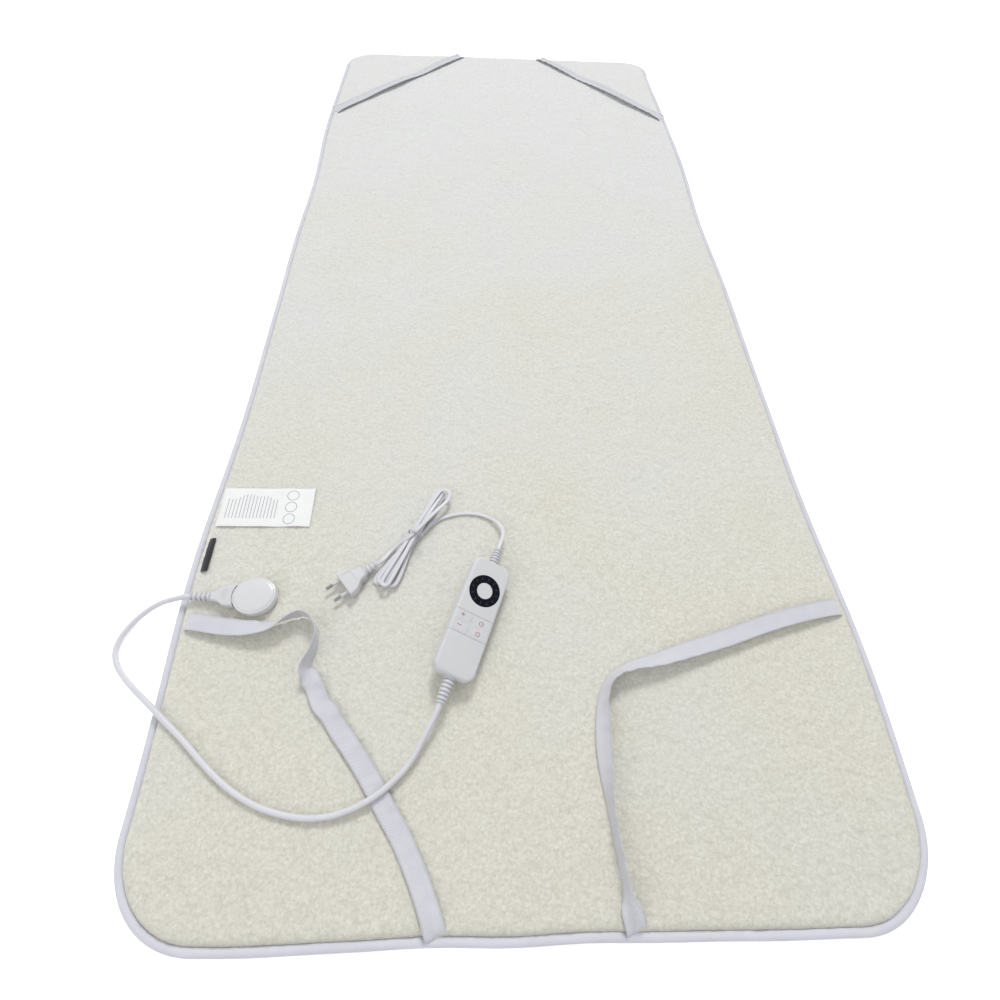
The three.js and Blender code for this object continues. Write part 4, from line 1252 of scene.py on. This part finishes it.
def makePlug():
    half, length, radius = plug["half"], plug["length"], plug["pinRadius"]
    waist = (
        (0, 7.5), (0.8, 7.5), (4, 7.7), (8, 8.9), (11, 11.0), (14, 13.6), (17, 15.6), (20, 16.6),
        (24, 17.2), (26.6, 17.65), (length, 17.2))
    body = loft("plugBody", [
        (x, wide, half - (0.6 if x in (0, length) else 0), 2.6) for x, wide in waist])
    # a shallow panel on each broad face and grip lines on the waist
    for z in (-1, 1):
        cutBlock(body, (13, 20, 1.2), 2, (18.5, 0, z * (half + 0.15)))
    for line in range(3):
        for side in (-1, 1):
            place = (4.2 + line * 2.2, side * (9.0 + line * 0.55), 0)
            cutBlock(body, (0.9, 3, 9), 0.3, place, cornerSteps=3)
    pieces = [fit(body, toPlug, 30, casingFinish, "casing", "plug_body")]
    for node, side in (("plug_pin_left", -1), ("plug_pin_right", 1)):
        metal = turned(node + "Metal", (
            (-4, radius - 0.25), (17, radius - 0.02), (18.2, radius - 0.3), (18.8, radius - 0.8),
            (19, 0.01)), 32)
        sleeve = turned(node + "Sleeve", (
            (-3, radius), (9.6, radius), (10, radius - 0.2), (10, radius - 0.6)), 32)
        place = toPlug @ at(length, side * plug["pinPitch"] / 2) @ spin("Y", 90)
        pieces += [
            fit(metal, place, 40, platedFinish, "plated_contact", node),
            fit(sleeve, place, 40, sheathFinish, "moulded_relief")]
    boot = turned("plugBoot", bootProfile(5.6, 4.2, 18, 3), 40)
    flatten = Matrix.Scale(0.82, 4, (1, 0, 0))
    place = toPlug @ at(0.2) @ spin("Y", -90) @ flatten
    pieces.append(fit(boot, place, 30, reliefFinish, "moulded_relief", "plug_strain_relief"))
    return pieces


plugPieces = makePlug()
print("stage: plug")

# socket and connector

socket = {
    "radius": 25, "oval": 0.91, "dome": 17.6, "top": 27.1, "axis": socketAxis,
    "tongue": (18, 6, 14), "mouthX": -25}


def makeSocket():
    r, low, top = socket["radius"], socket["dome"], socket["top"]
    place = toSocket @ Matrix.Diagonal((1, socket["oval"], 1, 1))
    plate = turned("socketPlate", (
        (15.3, r - 0.8), (15.7, r - 0.1), (16.1, r), (16.9, r), (17.3, r - 0.4)), 128)
    cutWith(plate, post("stem", 8, 6.2, 16), "UNION")
    fit(plate, place, 30, socketFinish, "casing", "socket_lower_shell")
    # the cap: an upright rim, a fine step, and a low dome
    rim = low + 7.6
    profile = [
        (low, r - 0.3), (low + 0.35, r), (rim - 1.1, r), (rim - 0.5, r - 0.3), (rim - 0.1, r - 1.0),
        (rim, r - 1.7), (rim - 0.25, r - 2.1), (rim, r - 2.5)]
    inner, rise = r - 2.5, top - rim
    for step in range(1, 13):
        angle = step / 12 * math.pi / 2
        profile.append((rim + rise * math.sin(angle) ** 0.9, inner * math.cos(angle) ** 0.8 + 0.01))
    cap = turned("socketCap", profile, 128)
    cutWith(cap, turned("hollow", (
        (low - 1, r - 2), (low + 5.6, r - 2), (low + 6.8, r - 5), (low + 7.6, 8),
        (low + 7.8, 0.01)), 64))
    # the mouth clears the tongue by half a millimetre on each side
    wide, high = socket["tongue"][0] + 1, socket["tongue"][1] + 1
    cutBlock(
        cap, (20, wide, 2 * high), 0.4, (socket["mouthX"] - 2, 0, low + 6.75 - high), cornerSteps=2)
    fit(cap, place, 30, socketFinish, "casing", "socket_upper_shell")


def makeConnector():
    mouthX, axis = socket["mouthX"], socket["axis"]
    half, neck, high = 13.0, 5.5, 5.0
    # distance out from the mouth, half width and half height
    sections = (
        (-6, half, high), (4, half, high), (7, half - 0.3, high), (10, half - 1.5, high - 0.1),
        (13, half - 3.6, high - 0.3), (16, half - 5.6, high - 0.6), (19, neck + 0.9, high - 0.9),
        (22, neck + 0.1, high - 1.0), (24.6, neck, high - 1.1), (25, neck - 0.5, high - 1.5))
    grip = shift(loft("connectorBody", [
        (mouthX - out, wide, tall, 2.6) for out, wide, tall in sections]), z=axis)
    cutWith(grip, post("disc", socket["radius"] + 0.35, 0, 60, sides=160))
    for line in range(4):
        for face in (-1, 1):
            place = (mouthX - 6.5 - line * 2.1, 0, axis + face * (high + 0.45 - line * 0.03))
            cutBlock(grip, (0.8, 15 - line * 1.6, 1.6), 0.3, place, cornerSteps=3)
    fit(grip, toSocket, 30, casingFinish, "casing", "connector_body", body="connector")
    wide, tall, length = socket["tongue"]
    held = 3.5
    tongue = roundedBlock("connectorTongue", (length + held, wide, tall), 0.8, 0.4)
    tip = mouthX + length
    shift(tongue, tip - (length + held) / 2, 0, axis)
    for row in (-1, 0, 1):
        place = at(tip - length + 2, row * 5.4, axis) @ spin("Y", 90)
        cutWith(tongue, move(post("hole", 1.9, 0, length, sides=24), place))
    fit(tongue, toSocket, 30, casingFinish, "casing", body="connector")
    boot = turned("connectorBoot", bootProfile(5.0, 4.3, 24, 4), 40)
    place = toSocket @ at(mouthX - 25.2, 0, axis) @ spin("Y", -90)
    fit(boot, place, 30, reliefFinish, "moulded_relief", "connector_strain_relief", body="connector")


makeSocket()
makeConnector()
print("stage: socket and connector")

# hand controller

hand = {
    "width": 48, "length": 141, "height": 19, "corner": 11, "round": 3.4, "wall": 2, "parting": 8.55,
    "ringOffset": 32, "ringOuter": 18.9, "ringInner": 9.6, "ringThickness": 1.1,
    "keyWidth": 18.4, "keyDepth": 10.2, "keyColumn": 11.3, "keyRows": (-5.4, -17.8), "proud": 0.03,
    "lines": (1.1, -24.5), "lineWidth": 0.55, "dashX": -3, "dashPitch": 1.9, "dash": 0.9}
ruleColour = (0.25, 0.25, 0.30)
markColour = (0.34, 0.06, 0.07)


def dashed(x, y, halfLine):
    # the dashed rule: where it lies across, and its gaps along
    gaps = y.repeat(hand["dashPitch"] * mm) > hand["dash"] * mm
    return (x.size() < halfLine) * gaps


def makeFaceFinish():
    # the moulding with its two printed rules and the dashed rule between them
    finish = Finish("controllerFace", 0.42)
    x, y = finish.mapParts()
    width = hand["lineWidth"] / 2 * mm
    upper, lower = (line * mm for line in hand["lines"])
    rules = ((y - upper).size() < width).most((y - lower).size() < width)
    dashes = dashed(x - hand["dashX"] * mm, y, width) * (y < upper) * (y > lower)
    handled = finish.noise(60, 4)
    base = finish.mix(handled, casingDark, casingLight)
    finish.colour(finish.mix(rules.most(dashes) * 0.7, base, ruleColour))
    finish.rough(handled * 0.18 + 0.33)
    finish.bump(finish.noise(2600, 2), 0.05 * mm, 0.35)
    return finish.material


def makeKeyFinish(name, mark):
    finish = Finish(name, 0.4)
    x, y = finish.mapParts()
    handled = finish.noise(80, 3)
    base = finish.mix(handled, casingDark, casingLight)
    # the dashed rule runs on over the two keys on its left
    if name in ("plusKey", "minusKey"):
        dashes = dashed(x - (hand["keyColumn"] + hand["dashX"]) * mm, y, 0.28 * mm)
        base = finish.mix(dashes * 0.7, base, ruleColour)
    finish.colour(finish.mix(mark(x, y), base, markColour))
    finish.bump(finish.noise(2600, 2), 0.05 * mm, 0.35)
    return finish.material


def bar(x, y, halfX, halfY):
    return (x.size() < halfX * mm) * (y.size() < halfY * mm)


def circle(x, y, radius, line):
    return (((x * x + y * y).root() - radius * mm).size() < line * mm)


def plusMark(x, y):
    x, y = x + 2.6 * mm, y - 1.4 * mm
    return bar(x, y, 2.9, 0.36).most(bar(x, y, 0.36, 2.9))


def minusMark(x, y):
    return bar(x + 2.6 * mm, y - 1.4 * mm, 2.9, 0.36)


def timerMark(x, y):
    x = x + 1.4 * mm
    hands = bar(x, y - 0.7 * mm, 0.24, 0.9).most(bar(x - 0.6 * mm, y, 0.8, 0.24))
    return circle(x, y, 2.6, 0.32).most(hands)


def powerMark(x, y):
    x = x + 1.4 * mm
    gapAbove = bar(x, y - 2.2 * mm, 0.95, 1.4)
    return (circle(x, y, 2.4, 0.32) * (1 - gapAbove)).most(bar(x, y - 1.5 * mm, 0.27, 1.5))


def makeRingFinish():
    # black gloss with a ring of faint level marks
    finish = Finish("ringLens", 0.3, Specular_IOR_Level=0.08)
    x, y = finish.mapParts()
    radius = (x * x + y * y).root()
    angle = finish.reckon("ARCTAN2", y, x)
    tick = (angle.repeat(math.pi / 12) < 0.035) * ((radius - 14.9 * mm).size() < 1.5 * mm)
    base = finish.mix(finish.noise(90, 3), (0.004, 0.005, 0.010), (0.008, 0.009, 0.016))
    finish.colour(finish.mix(tick * 0.3, base, (0.14, 0.15, 0.19)))
    finish.rough(finish.noise(140, 4) * 0.14 + 0.28)
    return finish.material


def makeShells():
    wall, top = hand["wall"], hand["height"]
    outer = (hand["width"], hand["length"], top)
    blank = roundedBlock("blank", outer, hand["corner"], hand["round"], cornerSteps=14, edgeSteps=7)
    shift(blank, z=top / 2)
    inside = roundedBlock(
        "inside", [side - 2 * wall for side in outer], hand["corner"] - wall, 0.8)
    cutWith(blank, shift(inside, z=top / 2))
    for end in (-1, 1):
        place = at(0, end * hand["length"] / 2, hand["parting"]) @ spin("X", 90)
        cutWith(blank, move(post("hole", 4.6, -8, 8, sides=40), place))
    shells = []
    for name, node, low, high in (
            ("controllerLower", "controller_lower_shell", -5, hand["parting"] - 0.15),
            ("controllerUpper", "controller_upper_shell", hand["parting"] + 0.15, 30)):
        shell = blank.copy()
        shell.data = blank.data.copy()
        bpy.context.collection.objects.link(shell)
        shell.name = shell.data.name = name
        slab = roundedBlock("slab", (200, 300, high - low), 1, 0, cornerSteps=1)
        cutWith(shell, shift(slab, z=(high + low) / 2), "INTERSECT")
        shells.append((shell, node))
    bpy.data.objects.remove(blank)
    lower, upper = shells[0][0], shells[1][0]
    ringCut = post("ringCut", hand["ringOuter"] + 0.15, top - 1.4, top + 2, sides=128)
    cutWith(ringCut, post("island", hand["ringInner"] - 0.15, top - 2, top + 3, sides=96))
    cutWith(upper, shift(ringCut, y=hand["ringOffset"]))
    for x in (-hand["keyColumn"], hand["keyColumn"]):
        for y in hand["keyRows"]:
            cutBlock(upper, (hand["keyWidth"] + 0.1, hand["keyDepth"] + 0.1, 6), 2.05, (x, y, top))
    for x in (-17, 17):
        for y in (-50, 50):
            cutWith(lower, shift(post("sink", 2.9, -1, 2.4), x, y))
    # rules moulded a little into the face
    for line in hand["lines"]:
        place = (0, line, top + 0.07)
        cutBlock(upper, (hand["width"], hand["lineWidth"], 0.5), 0.1, place, cornerSteps=1)
    for (shell, node), finish in zip(shells, (casingFinish, makeFaceFinish())):
        flatMap(shell)
        fit(shell, toController, 28, finish, "casing", node)


def makeKeys():
    # for each key: its mark, its side and its row
    plans = (
        ("plus", plusMark, -1, 0), ("minus", minusMark, -1, 1),
        ("timer", timerMark, 1, 0), ("power", powerMark, 1, 1))
    thick = 2.3
    for name, mark, side, row in plans:
        size = (hand["keyWidth"], hand["keyDepth"], thick)
        cap = roundedBlock(name + "Key", size, 2, 0.12, edgeSteps=4)
        flatMap(cap)
        level = hand["height"] + hand["proud"] - thick / 2
        shift(cap, side * hand["keyColumn"], hand["keyRows"][row], level)
        finish = makeKeyFinish(name + "Key", mark)
        fit(cap, toController, 35, finish, "key", name + "_key", body=name + "_key")


def makeRing():
    outer, inner, thick = hand["ringOuter"], hand["ringInner"], hand["ringThickness"]
    top = hand["height"]
    ring = turned("displayRing", (
        (top - thick, outer), (top - 0.15, outer), (top, outer - 0.15)), 160)
    cutWith(ring, post("hole", inner, 0, 40, sides=128))
    flatMap(ring)
    place = toController @ at(0, hand["ringOffset"])
    fit(ring, place, 30, makeRingFinish(), "display", "display_ring")


def makeControllerBoots():
    end = hand["length"] / 2 - 0.2
    for name, node, way, start, last, length, ribs in (
            ("leadBoot", "lead_strain_relief", -1, 6.6, 5.0, 28, 6),
            ("mainsBoot", "mains_strain_relief", 1, 6.0, 4.2, 22, 5)):
        boot = turned(name, bootProfile(start, last, length, ribs, first=-1.5), 48)
        place = toController @ at(0, way * end, hand["parting"]) @ spin("X", -90 * way)
        fit(boot, place, 30, reliefFinish, "moulded_relief", node)


makeShells()
makeKeys()
makeRing()
makeControllerBoots()
print("stage: controller")

# what the object holds inside

inner = {
    "heating_wire": wireFinish, "circuit_board": boardFinish, "component": darkFinish,
    "plated_contact": platedFinish, "screw_steel": steelFinish}
slotOf = {part["node"]: part["material_slot"] for part in frame["record"]["subparts"]}
for node, name in slotOf.items():
    if name in inner:
        nodeMesh = bpy.data.objects[node].data
        nodeMesh.materials.clear()
        nodeMesh.materials.append(inner[name])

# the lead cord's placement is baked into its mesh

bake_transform(lead)
